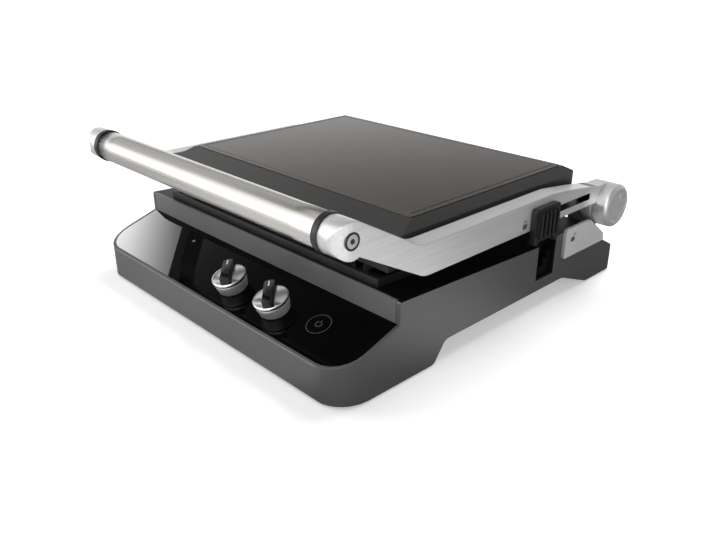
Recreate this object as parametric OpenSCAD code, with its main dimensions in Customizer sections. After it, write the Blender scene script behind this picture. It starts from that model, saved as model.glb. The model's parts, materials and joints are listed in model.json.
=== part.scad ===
// Electric contact grill: a base tray with a sloped control panel, two ribbed
// cooking plates that meet face to face, and a lid that floats between two
// cast arms joined by a round bar handle. Everything is in millimetres.
// Inside at_floor() lengths run back from the base's front wall (y = 0), up
// from the counter (z = 0) and out from the middle (x = 0).

/* [Base] */
// Width of the base across its side walls
base_w = 350; // [330:1:380]
// Depth of the base from its front wall to its rear foot
base_d = 376; // [360:1:410]
// Height of the base's front wall above the counter
front_h = 31.6; // [28:0.1:36]
// Depth of the sloped control panel, seen from above
panel_run = 60; // [56:1:66]
// Rise of the control panel from front to back
panel_rise = 20; // [17:0.1:23]
// Height of the deck behind the front strip
deck_h = 70.1; // [67:0.1:74]
// Fall of the deck from the front strip to its rear end
deck_fall = 8.4; // [6:0.1:9.5]
// Radius of the base's front corners, seen from above
corner_r = 28; // [18:1:34]
// Radius of the base's rear corners, seen from above
rear_corner_r = 10; // [6:1:14]
// Wall of the base housing
wall = 2.8; // [2.2:0.1:3.4]
// Height of the arch under the base
arch_h = 19.5; // [17:0.5:21]
// Height of the rubber feet under the base
foot_h = 2; // [1.5:0.1:3]
// Radius of a rubber foot
foot_r = 9; // [7:0.5:10]

/* [Lid] */
// Gap between the lid's side and the base's side wall, seen from above
lid_inset = 20.5; // [18:0.5:24]
// Distance from the front strip back to the lid's front wall
lid_back = 20; // [17:1:24]
// Distance from the hinge axis forward to the lid's rear wall
lid_hinge_gap = 25.4; // [25:0.2:30]
// Height of the lid's side walls above the plane where the plates meet
lid_side_h = 32.1; // [30:0.1:36]
// Height of the bevel round the lid's top
lid_bevel_h = 7.2; // [5:0.2:9]
// Width of the bevel at the lid's front
lid_bevel_front = 18; // [14:0.5:22]
// Thickness of the lid's top panel
top_panel_t = 3; // [2:0.1:4]

/* [Cooking plates] */
// Height of the ribs on the cooking plates
rib_h = 4; // [3:0.1:5]
// Distance from rib to rib
rib_pitch = 13.5; // [11:0.1:18]
// Width of a rib at its foot
rib_w = 6; // [4:0.1:7]
// Width of a rib at its tip
rib_tip_w = 3.2; // [2:0.1:4]
// Thickness of a plate's floor
plate_t = 3.5; // [3:0.1:4]
// Width of the drip channel round the ribs
channel_w = 7; // [5:0.5:9]
// Radius of the tube of a heating element
heater_r = 3.2; // [2.8:0.1:3.4]

/* [Arms and handle] */
// Radius of the handle tube
tube_r = 13.5; // [12:0.1:15]
// Height of the handle's axis above the plane where the plates meet
handle_up = 53; // [50:0.2:58]
// Distance from the base's front wall back to the handle's axis
handle_back = 11.7; // [8:0.1:14]
// Thickness of a cast arm
arm_t = 15; // [13:0.5:17]
// Height of an arm's straight bar
arm_h = 25.5; // [24:0.5:28]
// Height of the arm's lower edge above the plane where the plates meet
arm_low = 5.9; // [5.5:0.1:7]
// Radius of the round boss at an arm's rear end
boss_r = 20.5; // [18:0.1:21]
// Radius of a hinge pin
hinge_pin_r = 5; // [4:0.1:6]
// Radius of a lid pivot pin
pivot_pin_r = 4; // [3:0.1:5]
// Length of the hinge caps, measured along the hinge
hinge_cap_l = 16; // [13:0.5:18]

/* [Height slider] */
// Length of the slider along its arm
slider_l = 36; // [32:1:42]
// Height of the slider
slider_h = 32; // [28:1:34]
// Travel of the slider along its slot
slider_travel = 50; // [40:1:52]
// Height of the slider's slot
slot_h = 6.4; // [5:0.1:8]
// Number of grip ribs on the slider
grip_ribs = 5; // [3:1:7]

/* [Controls] */
// Largest radius of a knob
knob_r = 14.8; // [13:0.1:16]
// Height of a knob above the panel
knob_h = 20; // [16:0.5:24]
// Distance from knob to knob
knob_pitch = 56.8; // [50:0.1:62]
// Position of the temperature knob, to the right of the middle
knob_x = 17; // [5:0.5:22]
// Distance of the knobs up the panel from its front edge
knob_up = 25.5; // [23:0.5:29]
// Position of the power button, to the right of the middle
button_x = 119; // [110:0.5:125]
// Distance of the power button up the panel from its front edge
button_up = 32.2; // [26:0.2:36]
// Radius of the power button
button_r = 10.5; // [8:0.1:12]
// Travel of the power button
button_travel = 1.5; // [1:0.1:2]
// Radius of a knob's shaft
shaft_r = 3; // [2.5:0.1:3.5]
// Thickness of the control panel
panel_t = 2.4; // [2:0.1:3]

/* [Drip tray] */
// Width of the drip tray
tray_w = 216; // [190:1:226]
// Length of the drip tray
tray_l = 210; // [180:1:220]
// Height of the drip tray
tray_h = 9.5; // [8:0.5:12]
// Wall of the drip tray
tray_wall = 1.4; // [1:0.1:2]

/* [Hidden] */
$fn = 64;

// Clearances: between pieces of one body, between bodies, and of a running fit
fit_gap = 0.1;
move_gap = 0.3;
run_gap = 0.05;
// How far a cut reaches past the face that it opens
cut = 1;
// Steps in a quarter of a rounded corner
arc_steps = 6;

// Overall places
half_w = base_w / 2;
panel_top = front_h + panel_rise;
panel_angle = atan(panel_rise / panel_run);
contact_z = deck_h + 7.9;
deck_end_h = deck_h - deck_fall;
hinge_y = base_d - 33.6;
hinge_z = contact_z;
shoulder_y = base_d - 110;
handle_z = contact_z + handle_up;
front_reach = tube_r + 1 - handle_back;
floor_shift = (front_reach - base_d) / 2;

// Lid and plates
lid_hw = half_w - lid_inset;
lid_front = panel_run + lid_back;
lid_rear = hinge_y - lid_hinge_gap;
lid_low = contact_z + 7;
lid_edge_z = contact_z + lid_side_h;
lid_top = lid_edge_z + lid_bevel_h;
lid_wall = 2.5;
lid_bevel_side = 6.7;
lid_bevel_rear = 12;
seat_margin = 1.3;
seat_depth = top_panel_t - 0.8;
plate_hw = lid_hw - 9;
plate_front = panel_run + 6.5;
plate_rear = lid_rear - 4.5;
ledge_z = deck_end_h - 1.5;
rim_drop = 2;
skirt_t = 3;
upper_rim_hw = lid_hw - 6;
upper_rim_front = lid_front - 6;
upper_rim_rear = lid_rear - 3;
upper_hw = plate_hw;
upper_front = lid_front + 8;
upper_rear = lid_rear - 6;
heater_runs = 6;
screw_post_r = 3.1;

// Arms
arm_in = lid_hw + 7;
arm_out = arm_in + arm_t;
arm_bottom = contact_z + arm_low;
arm_top = arm_bottom + arm_h;
leg_angle = 29.5;
leg_low = 8.1;
arm_fall_y = base_d - 126;
ring_x = arm_in - 4.8;
ring_l = 5;
ring_r = tube_r + 1;
elbow_r = tube_r + 0.2;
boss_out = arm_in + 11;
pin_head_l = 3.5;
pivot_y = (lid_front + lid_rear) / 2 - 7;
pivot_z = arm_bottom + arm_h / 2;
pivot_depth = 7;
bush_t = 2.4;

// Slider
slot_y0 = base_d - 152;
slot_y1 = base_d - 66;
slot_z = arm_bottom + 8.8;
slot_web = 10;
slot_r = 2.2;
clip_h = slot_h + 5;
slider_y0 = slot_y0 - 9;
slider_z0 = contact_z - 7;
slider_t = 8;
neck_l = slot_y1 - slot_y0 - slider_travel - 2 * move_gap - 12;

// Hinge towers
tower_in = lid_hw - 8;
tower_out = arm_in - 0.6;
tower_l = 27;
tower_top = hinge_z + 12;
block_out = half_w - 3.2;
block_front = shoulder_y + 2;
recess_front = shoulder_y - 31;
recess_rear = shoulder_y - 4;
recess_floor = front_h - 1.5;
recess_depth = 12;

// Base inside
rear_low = 38.2;
rear_slope_y = base_d - 26;
arch_front = 100;
arch_rear = base_d - 96;
cover_t = 2;
shelf_t = 3.6;
panel_gap = 0.2;
shelf_drop = (panel_t + panel_gap + shelf_t) / cos(panel_angle);
panel_lip = 3;
lamp_place = [-79.5, 49];
strip_t = 2.5;
strip_hw = half_w - 5;
strip_back = panel_run + strip_t + wall;
tray_z = arch_h + cover_t + move_gap;
tray_mouth_y = base_d - 4;
boss_x = half_w - 22;
screw_places = [for (s = [-1, 1], e = [[boss_x, 42], [boss_x - 18, base_d - 36]]) [s * e[0], e[1]]];
foot_places = [for (x = [-1, 1], y = [30, base_d - 22]) [x * (half_w - 40), y]];
gland_x = half_w - 47;
block_x = 54 - half_w;

// ---------------------------------------------------------------- helpers

// Puts a piece that is measured from the front wall into the part's own frame
module at_floor() {
    translate([0, floor_shift, 0]) children();
}

// Local frame of the control panel: y runs up the slope and z leaves it
module on_panel() {
    translate([0, 0, front_h]) rotate([panel_angle, 0, 0]) children();
}

// The points of a closed outline, each given as [u, v, corner radius]
function rounded(pts) = [
    for (i = [0 : len(pts) - 1])
        let (p = pts[i], a = pts[(i + len(pts) - 1) % len(pts)], b = pts[(i + 1) % len(pts)])
        each corner_points([p[0], p[1]], [a[0], a[1]], [b[0], b[1]], p[2])
];

// The arc that rounds the corner p between its neighbours a and b
function corner_points(p, a, b, r) =
    r == 0 ? [p] :
    let (
        u = (a - p) / norm(a - p),
        v = (b - p) / norm(b - p),
        half = acos(u * v) / 2,
        mid = p + (u + v) / norm(u + v) * r / sin(half),
        first = p + u * r / tan(half) - mid,
        last = p + v * r / tan(half) - mid,
        start = atan2(first[1], first[0]),
        turn_raw = atan2(last[1], last[0]) - start,
        turn = turn_raw > 180 ? turn_raw - 360 : turn_raw < -180 ? turn_raw + 360 : turn_raw
    )
    [for (k = [0 : arc_steps]) mid + r * [cos(start + turn * k / arc_steps), sin(start + turn * k / arc_steps)]];

// An outline in the plane of y and z, stretched from x0 to x1
module across(x0, x1, pts) {
    translate([x0, 0, 0]) rotate([90, 0, 90]) linear_extrude(x1 - x0) polygon(rounded(pts));
}

// An outline in the plane of x and y, stretched from z0 to z1
module upward(z0, z1, pts) {
    translate([0, 0, z0]) linear_extrude(z1 - z0) polygon(rounded(pts));
}

// An outline in the plane of x and z, stretched from y0 to y1
module backward(y0, y1, pts) {
    translate([0, y1, 0]) rotate([90, 0, 0]) linear_extrude(y1 - y0) polygon(rounded(pts));
}

// A box given by its two corners
module box(x0, y0, z0, x1, y1, z1) {
    translate([x0, y0, z0]) cube([x1 - x0, y1 - y0, z1 - z0]);
}

// A box that is the same to the left and to the right of the middle
module mid_box(hw, y0, z0, y1, z1) {
    box(-hw, y0, z0, hw, y1, z1);
}

// A round bar along x from x0 to x1
module bar_x(r, x0, x1, y, z) {
    translate([x0, y, z]) rotate([0, 90, 0]) cylinder(r = r, h = x1 - x0);
}

// The same piece on the right and on the left
module both_sides() {
    children();
    mirror([1, 0, 0]) children();
}

// ------------------------------------------------------------------- base

// Side outline of the base, with the arch under it
function base_outline() = [
    [0, foot_h, 2], [0, front_h, 1.5], [panel_run, panel_top, 0], [panel_run, deck_h, 1.5],
    [shoulder_y - 4, deck_end_h, 1.5], [shoulder_y, deck_end_h - 7, 2],
    [shoulder_y + 10, rear_low, 6], [rear_slope_y, rear_low, 8],
    [base_d - 8, rear_low - 9.5, 4], [base_d, foot_h, 2], [base_d - 51, foot_h, 12],
    [arch_rear, arch_h, 20], [arch_front + 13, arch_h, 8], [arch_front, foot_h, 5]
];

// Plan outline of the base, inset by a wall
function base_plan(inset) = [
    [inset - half_w, inset, corner_r - inset], [half_w - inset, inset, corner_r - inset],
    [half_w - inset, base_d - inset, rear_corner_r - inset],
    [inset - half_w, base_d - inset, rear_corner_r - inset]
];

// Underside of the base and the line that lies a cover's thickness above it
function cover_outline(y0, y1) = [
    [y0, foot_h, 0], [arch_front, foot_h, 5], [arch_front + 13, arch_h, 8],
    [arch_rear, arch_h, 20], [base_d - 51, foot_h, 12], [y1, foot_h, 0],
    [y1, foot_h + cover_t, 0], [base_d - 51, foot_h + cover_t, 12],
    [arch_rear, arch_h + cover_t, 20], [arch_front + 13 - cover_t, arch_h + cover_t, 8],
    [arch_front - cover_t, foot_h + cover_t, 5], [y0, foot_h + cover_t, 0]
];

// Plan outline of the control panel in its own sloped frame
function panel_plan(gap) = [
    [-half_w + panel_lip - gap, panel_lip - gap, corner_r - panel_lip + gap],
    [half_w - panel_lip + gap, panel_lip - gap, corner_r - panel_lip + gap],
    [half_w - panel_lip + gap, panel_run / cos(panel_angle) + gap, 0],
    [-half_w + panel_lip - gap, panel_run / cos(panel_angle) + gap, 0]
];

module base_hollows() {
    // Under the control panel
    intersection() {
        across(-half_w, half_w, [
            [wall, -cut, 0], [wall, front_h + wall * tan(panel_angle) - shelf_drop, 0],
            [strip_back, front_h + strip_back * tan(panel_angle) - shelf_drop, 0],
            [strip_back, ledge_z - 2, 0], [arch_front - 8, ledge_z - 2, 0], [arch_front - 8, -cut, 0]
        ]);
        upward(-cut, deck_h, base_plan(wall));
    }
    // Under the lower cooking plate, open above and below
    mid_box(plate_hw - skirt_t, plate_front + skirt_t, -cut, plate_rear - skirt_t, deck_h + cut);
    // The seat of the lower cooking plate
    mid_box(plate_hw + move_gap, plate_front - move_gap, ledge_z, plate_rear + move_gap, deck_h + cut);
    // Inside the side walls
    both_sides() box(plate_hw + wall, arch_front - 6, -cut, half_w - wall, recess_front - wall, deck_end_h - 6);
    // Behind the plate, where the mains lead arrives
    across(4 - plate_hw, plate_hw - 4, [
        [plate_rear + 5, -cut, 0], [plate_rear + 5, rear_low - 4, 0], [rear_slope_y, rear_low - 4, 0],
        [base_d - 12, rear_low - 12, 0], [base_d - 12, -cut, 0]
    ]);
    // The drip tray's mouth
    mid_box(tray_w / 2 + move_gap, plate_rear - skirt_t - cut, tray_z - move_gap, base_d + cut, tray_z + tray_h + move_gap);
}

module base_blocks() {
    // The wall behind the lower cooking plate
    across(-tower_in, tower_in, [
        [shoulder_y - 20, arch_h + 8, 0], [shoulder_y - 20, deck_end_h - 1, 0],
        [plate_rear + 6, deck_end_h - 1, 2], [plate_rear + 16, rear_low - 2, 0]
    ]);
    // The hood over the drip tray's mouth
    mid_box(tray_w / 2 + wall + move_gap, plate_rear + 4, arch_h, tray_mouth_y, tray_z + tray_h + wall + move_gap);
    // The blocks that carry the side plates, and the hinge towers
    both_sides() {
        across(tower_in, block_out, [
            [block_front, rear_low - 2, 0], [block_front, deck_end_h + 2, 2],
            [hinge_y - 24, deck_end_h + 2, 3], [hinge_y + 5, rear_low + 7, 2], [hinge_y + 7, rear_low - 2, 0]
        ]);
        difference() {
            across(tower_in, tower_out, [
                [hinge_y - tower_l / 2 - 3, rear_low - 2, 0], [hinge_y - tower_l / 2, tower_top, 11],
                [hinge_y + tower_l / 2, tower_top, 11], [hinge_y + tower_l / 2 + 3, rear_low - 6, 0]
            ]);
            bar_x(hinge_pin_r + run_gap / 2, tower_in - cut, tower_out + cut, hinge_y, hinge_z);
        }
    }
}

// Holes for the two shafts, the button and the lamp, in the panel's frame
module panel_holes(depth, gap) {
    for (x = [knob_x, knob_x + knob_pitch])
        translate([x, knob_up, -depth]) cylinder(r = shaft_r + gap, h = depth + cut);
    translate([button_x, button_up, -depth]) cylinder(r = button_r + gap, h = depth + cut);
    translate([lamp_place[0], lamp_place[1], -depth]) cylinder(r = 1.5, h = depth + cut);
}

module base_housing() {
    color("#5c5c5c") at_floor() difference() {
        union() {
            intersection() {
                across(-half_w, half_w, base_outline());
                upward(0, deck_h + cut, base_plan(0));
            }
            base_blocks();
        }
        // The hollows, around the bosses of the cover screws
        difference() {
            base_hollows();
            for (p = screw_places) translate([p[0], p[1], foot_h + cover_t]) cylinder(r = 5, h = deck_h);
        }
        // Seat of the bottom cover
        across(-half_w + wall, half_w - wall, cover_outline(wall, base_d - wall - 2));
        // Seat of the control panel
        on_panel() upward(-panel_t - panel_gap, 20, panel_plan(panel_gap));
        on_panel() panel_holes(14, 0.6);
        // Seat of the front strip
        mid_box(strip_hw + panel_gap, panel_run - cut, panel_top - 6, panel_run + strip_t + fit_gap, deck_h + cut);
        // Recess in the right wall, under the slider
        box(half_w - recess_depth, recess_front, recess_floor, half_w + cut, recess_rear, deck_h + cut);
        // Hole for the mains lead
        translate([gland_x, base_d - 14, 17]) rotate([-90, 0, 0]) cylinder(r = 8 + fit_gap, h = 20);
        for (p = screw_places)
            translate([p[0], p[1], -cut]) cylinder(r = 1.9, h = 20, $fn = 24);
    }
}

module bottom_cover() {
    color("#2b2b2b") at_floor() difference() {
        intersection() {
            across(-half_w + wall + fit_gap, half_w - wall - fit_gap, cover_outline(wall + fit_gap, base_d - wall - 2 - fit_gap));
            upward(-cut, deck_h, base_plan(wall + fit_gap));
        }
        for (p = foot_places)
            translate([p[0], p[1], -cut]) cylinder(r = 3 + fit_gap, h = 10, $fn = 32);
        for (p = screw_places)
            translate([p[0], p[1], -cut]) cylinder(r = 2.2, h = 10, $fn = 24);
        // Cooling slots under the arch
        for (i = [-5 : 5])
            box(i * 9 - 2, 150, arch_h - cut, i * 9 + 2, 205, arch_h + cover_t + cut);
    }
}

module rubber_feet() {
    color("#151515") at_floor() for (p = foot_places) translate([p[0], p[1], 0]) {
        cylinder(r1 = foot_r - 1, r2 = foot_r, h = foot_h);
        translate([0, 0, foot_h]) cylinder(r = 3, h = cover_t + 1.5, $fn = 32);
    }
}

module cover_screws() {
    color("#8a8a8a") at_floor() for (p = screw_places) translate([p[0], p[1], foot_h - 1.2]) {
        cylinder(r = 3.4, h = 1.2, $fn = 32);
        cylinder(r = 1.8, h = 18, $fn = 24);
    }
}

module front_strip() {
    color("#5f5f5f") at_floor() difference() {
        mid_box(strip_hw, panel_run, panel_top - 5.5, panel_run + strip_t, deck_h);
        on_panel() upward(-panel_t - panel_gap, panel_gap, panel_plan(panel_gap));
    }
}

module control_panel() {
    color("#0c0c0d") at_floor() on_panel() difference() {
        upward(-panel_t, 0, panel_plan(0));
        panel_holes(panel_t + cut, 0.3);
    }
}

module indicator_lamp() {
    color("#c8c8c8") at_floor() on_panel() translate([lamp_place[0], lamp_place[1], -panel_t - 1.5])
        cylinder(r = 1.4, h = panel_t + 1.7, $fn = 32);
}

// Body of a control under the panel: a can with a threaded neck and two tags
module control_can(x) {
    drop = panel_t + panel_gap + shelf_t;
    translate([x, knob_up, 0]) difference() {
        union() {
            translate([0, 0, -drop - 14.1]) cylinder(r = 12, h = 14);
            translate([-9, -13, -drop - 16]) cube([18, 26, 4]);
            for (s = [-5, 5]) translate([s - 2, -2, -drop - 23]) cube([4, 0.8, 7]);
        }
        translate([0, 0, -drop - 8]) cylinder(r = shaft_r + run_gap, h = 10);
    }
}

module thermostat() {
    color("#b8b09a") at_floor() on_panel() control_can(knob_x);
}

module timer_unit() {
    color("#a9a9ad") at_floor() on_panel() control_can(knob_x + knob_pitch);
}

// Board with the switch that the power button presses
module control_board() {
    drop = panel_t + panel_gap + shelf_t;
    color("#1f4a2c") at_floor() on_panel() {
        translate([button_x - 20, button_up - 16, -drop - 9.6]) cube([40, 32, 1.6]);
        translate([button_x - 4, button_up - 4, -drop - 8]) cube([8, 8, 5.2]);
        for (s = [-1, 1]) translate([button_x + s * 16, button_up + s * 11, -drop - 8]) cylinder(r = 2.5, h = 7.9, $fn = 32);
    }
}

// -------------------------------------------------------- cooking plates

// Ribs that fill a plate between its drip channels; z grows away from the floor
module ribs(hw, y0, y1, h) {
    count = floor((hw - channel_w - rib_w / 2) / rib_pitch);
    for (i = [-count : count])
        translate([i * rib_pitch, 0, 0])
            backward(y0, y1, [[-rib_w / 2, -0.5, 0], [-rib_tip_w / 2, h, 0.6], [rib_tip_w / 2, h, 0.6], [rib_w / 2, -0.5, 0]]);
}

module lower_plate() {
    floor_top = contact_z - move_gap / 2 - rib_h;
    color("#2a2a2c") at_floor() difference() {
        union() {
            difference() {
                mid_box(plate_hw, plate_front, ledge_z + 0.05, plate_rear, contact_z - rim_drop);
                // Cooking surface
                upward(floor_top, contact_z + cut, [
                    [3 - plate_hw, plate_front + 3, 6], [plate_hw - 3, plate_front + 3, 6],
                    [plate_hw - 3, plate_rear - 3, 6], [3 - plate_hw, plate_rear - 3, 6]
                ]);
                // Underside
                mid_box(plate_hw - skirt_t, plate_front + skirt_t, ledge_z - cut, plate_rear - skirt_t, floor_top - plate_t);
            }
            translate([0, 0, floor_top]) ribs(plate_hw - 3, plate_front + 3 + channel_w, plate_rear - 3 - channel_w, rib_h);
            // Drain spout
            translate([0, plate_rear - 7.5, tray_z + tray_h + 4]) cylinder(r = 3.5, h = floor_top - tray_z - tray_h - 4);
        }
        translate([0, plate_rear - 7.5, 0]) cylinder(r = 2.3, h = contact_z + cut);
    }
}

module upper_plate() {
    floor_low = contact_z + move_gap / 2 + rib_h;
    color("#2a2a2c") at_floor() difference() {
        union() {
            difference() {
                mid_box(upper_rim_hw, upper_rim_front, contact_z + rim_drop, upper_rim_rear, lid_low - fit_gap);
                upward(contact_z - cut, floor_low, [
                    [3 - plate_hw, upper_rim_front + 3.5, 6], [plate_hw - 3, upper_rim_front + 3.5, 6],
                    [plate_hw - 3, plate_rear - 3, 6], [3 - plate_hw, plate_rear - 3, 6]
                ]);
            }
            mid_box(upper_hw, upper_front, contact_z + rim_drop + 3, upper_rear, lid_low + 8);
            translate([0, 0, floor_low]) mirror([0, 0, 1])
                ribs(plate_hw - 3, upper_rim_front + 3.5 + channel_w, plate_rear - 3 - channel_w, rib_h);
        }
        mid_box(upper_hw - skirt_t, upper_front + skirt_t, floor_low + plate_t, upper_rear - skirt_t, lid_low + 20);
    }
}

// A sheathed element folded back and forth in one plane
module folded_element(hw, y0, y1, z) {
    pitch = 2 * hw / (heater_runs - 1);
    bend = pitch / 2;
    for (i = [0 : heater_runs - 1])
        translate([i * pitch - hw, i == 0 || i == heater_runs - 1 ? y1 + bend : y1, z])
            rotate([90, 0, 0]) cylinder(r = heater_r, h = y1 - y0 + (i == 0 || i == heater_runs - 1 ? bend : 0), $fn = 24);
    for (i = [0 : heater_runs - 2])
        translate([i * pitch - hw + bend, i % 2 == 0 ? y0 : y1, z])
            rotate([0, 0, i % 2 == 0 ? 180 : 0])
                rotate_extrude(angle = 180, $fn = 64) translate([bend, 0]) circle(r = heater_r, $fn = 24);
}

module lower_heater() {
    color("#9a938c") at_floor()
        folded_element(plate_hw - 35, plate_front + 45, plate_rear - 45, contact_z - move_gap / 2 - rib_h - plate_t - heater_r - 0.5);
}

module upper_heater() {
    color("#9a938c") at_floor()
        folded_element(plate_hw - 35, lid_front + 45, lid_rear - 48, contact_z + move_gap / 2 + rib_h + plate_t + heater_r + 0.5);
}

// A folded sheet tray; up is +1 for side flanges that rise and -1 for ones that hang
module sheet_tray(hw, y0, y1, z, flange, up) {
    difference() {
        mid_box(hw, y0, up > 0 ? z : z - flange, y1, up > 0 ? z + flange : z + 0.8);
        mid_box(hw - 0.8, y0 + 0.8, up > 0 ? z + 0.8 : z - flange - cut, y1 - 0.8, up > 0 ? z + flange + cut : z);
    }
}

module lower_reflector() {
    floor_low = contact_z - move_gap / 2 - rib_h - plate_t;
    color("#c9c9c4") at_floor() difference() {
        sheet_tray(plate_hw - skirt_t - 0.5, plate_front + skirt_t + 0.5, plate_rear - skirt_t - 0.5, floor_low - 11, 10.7, 1);
        translate([0, plate_rear - 7.5, 0]) cylinder(r = 4.5, h = contact_z);
    }
}

module upper_reflector() {
    floor_high = contact_z + move_gap / 2 + rib_h + plate_t;
    color("#c9c9c4") at_floor()
        sheet_tray(upper_hw - skirt_t - 0.5, upper_front + skirt_t + 0.5, upper_rear - skirt_t - 0.5, floor_high + 10.9, 10.6, -1);
}

// -------------------------------------------------------- hinge hardware

module side_plate() {
    across(block_out, half_w, [
        [shoulder_y + 13, rear_low + 0.2, 1], [shoulder_y + 13.5, deck_end_h + 5, 3],
        [hinge_y - 22.5, deck_end_h + 5, 4], [hinge_y + 6, rear_low + 8, 3], [hinge_y + 8, rear_low + 0.2, 1]
    ]);
}

module side_plate_right() {
    color("#b5b5b5") at_floor() side_plate();
}

module side_plate_left() {
    color("#b5b5b5") at_floor() mirror([1, 0, 0]) side_plate();
}

module hinge_pin() {
    bar_x(hinge_pin_r, tower_in - 1, boss_out + 1, hinge_y, hinge_z);
    bar_x(hinge_pin_r + 2.5, boss_out + 0.6, boss_out + 0.6 + pin_head_l, hinge_y, hinge_z);
    bar_x(hinge_pin_r + 2, tower_in - 3.5, tower_in - 0.05, hinge_y, hinge_z);
}

module hinge_pin_right() {
    color("#8f8f8f") at_floor() hinge_pin();
}

module hinge_pin_left() {
    color("#8f8f8f") at_floor() mirror([1, 0, 0]) hinge_pin();
}

// Black insert in the base's right wall, with the steps that the slider serves
module slider_stop() {
    x0 = half_w - recess_depth + fit_gap;
    y0 = recess_front + fit_gap;
    y1 = recess_rear - fit_gap;
    color("#141414") at_floor() difference() {
        union() {
            box(x0, y0, recess_floor + fit_gap, x0 + 3, y1, deck_end_h);
            box(x0, y0, recess_floor + fit_gap, half_w - 0.5, y0 + 1.5, deck_end_h);
            box(x0, y1 - 1.5, recess_floor + fit_gap, half_w - 0.5, y1, deck_end_h - 3);
            box(x0, y0, recess_floor + fit_gap, half_w - 0.5, y1, recess_floor + 2);
            for (i = [0 : 2])
                box(x0, y1 - 6 * (i + 1) - 1.5, recess_floor, half_w - 3, y1 - 6 * i, recess_floor + 24 - 7 * i);
        }
        box(x0 + 5, y0 - cut, recess_floor + 26, half_w + cut, y0 + 4, deck_h);
    }
}

// ------------------------------------------------------------ electrics

module cord_gland() {
    color("#1b1b1b") at_floor() translate([gland_x, base_d - 8.2, 17]) rotate([-90, 0, 0]) difference() {
        union() {
            translate([0, 0, -4]) cylinder(r = 8, h = 9);
            translate([0, 0, -7]) cylinder(r = 9, h = 3.1);
            translate([0, 0, 4]) cylinder(r1 = 8, r2 = 6, h = 4);
        }
        translate([0, 0, -3]) cylinder(r = 3.75, h = 20);
    }
}

module terminal_block() {
    color("#d9d5c8") at_floor() difference() {
        box(block_x - 7, base_d - 46, foot_h + cover_t + fit_gap, block_x + 7, base_d - 18, foot_h + cover_t + 14);
        for (i = [0 : 2])
            translate([block_x, base_d - 40 + 8 * i, 10]) cylinder(r = 2, h = 12, $fn = 32);
    }
}

module thermal_fuse() {
    z = contact_z - move_gap / 2 - rib_h - plate_t - 11 - 3.2;
    color("#c2c2c2") at_floor() {
        bar_x(2.6, 60, 76, plate_rear - 20, z);
        bar_x(0.8, 52, 84, plate_rear - 20, z);
    }
}

// ------------------------------------------------------------ drip tray

module drip_tray() {
    y1 = tray_mouth_y + move_gap;
    y0 = y1 - tray_l;
    color("#2f2f2f") at_floor() {
        difference() {
            upward(tray_z, tray_z + tray_h, [
                [-tray_w / 2, y0, 8], [tray_w / 2, y0, 8], [tray_w / 2, y1 + 0.1, 0], [-tray_w / 2, y1 + 0.1, 0]
            ]);
            upward(tray_z + tray_wall, tray_z + tray_h + cut, [
                [tray_wall - tray_w / 2, y0 + tray_wall, 7], [tray_w / 2 - tray_wall, y0 + tray_wall, 7],
                [tray_w / 2 - tray_wall, y1 - tray_wall, 4], [tray_wall - tray_w / 2, y1 - tray_wall, 4]
            ]);
        }
        // Front plate with a finger lip
        mid_box(tray_w / 2 + 3, y1, tray_z - 1, y1 + 2, tray_z + tray_h + 0.5);
        backward(y1 + 1.9, y1 + 3.7, [
            [-40, tray_z - 1, 0], [40, tray_z - 1, 0], [36, tray_z + 4, 2], [-36, tray_z + 4, 2]
        ]);
    }
}

// ----------------------------------------------------- arms and handle

// Side outline of an arm from the leg back to the hinge, without its round ends
function arm_outline() =
    let (
        dy = cos(leg_angle), dz = sin(leg_angle),
        top0 = [handle_back + elbow_r * dz, handle_z + elbow_r * dy],
        low0 = [handle_back - leg_low * dz, handle_z - leg_low * dy],
        top_run = (top0[1] - arm_top) / tan(leg_angle),
        low_run = (low0[1] - arm_bottom) / tan(leg_angle)
    ) [
        [low0[0], low0[1], 0], [top0[0], top0[1], 0],
        [top0[0] + top_run, arm_top, 26], [arm_fall_y, arm_top, 60],
        [arm_fall_y + 40, arm_top - 5, 60], [hinge_y - 15.4, hinge_z + boss_r + 0.4, 0],
        [hinge_y, hinge_z + boss_r, 0], [hinge_y, arm_bottom - 0.5, 0],
        [low0[0] + low_run + 4, arm_bottom, 22]
    ];

// Plan outline of the right arm, from the round elbow to the rear
function arm_plan() = [
    [ring_x, handle_back - elbow_r - cut, 0], [arm_out, handle_back - elbow_r, 14],
    [arm_out, hinge_y + 40, 0], [arm_in, hinge_y + 40, 0],
    [arm_in, handle_back + elbow_r + 14, 9], [ring_x, handle_back + elbow_r + 2, 3]
];

module arm() {
    difference() {
        intersection() {
            union() {
                across(ring_x, arm_out, arm_outline());
                bar_x(elbow_r, ring_x, arm_out, handle_back, handle_z);
                bar_x(boss_r, ring_x, arm_out, hinge_y, hinge_z);
            }
            upward(contact_z - 60, handle_z + 40, arm_plan());
        }
        // Seat of the hinge cap, and the bush's bore
        bar_x(boss_r + 0.5, boss_out, arm_out + cut, hinge_y, hinge_z);
        bar_x(hinge_pin_r + bush_t, arm_in - cut, boss_out + cut, hinge_y, hinge_z);
        // Blind bore of the lid's pivot pin
        bar_x(pivot_pin_r, arm_in - cut, arm_in + pivot_depth, pivot_y, pivot_z);
        // Threaded end of the handle core, and the end cover's seat
        bar_x(3, ring_x - cut, arm_out - 4, handle_back, handle_z);
        bar_x(5.5 + fit_gap / 2, arm_out - 1.5, arm_out + cut, handle_back, handle_z);
        bar_x(3, arm_out - 6, arm_out, handle_back, handle_z);
    }
}

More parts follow.
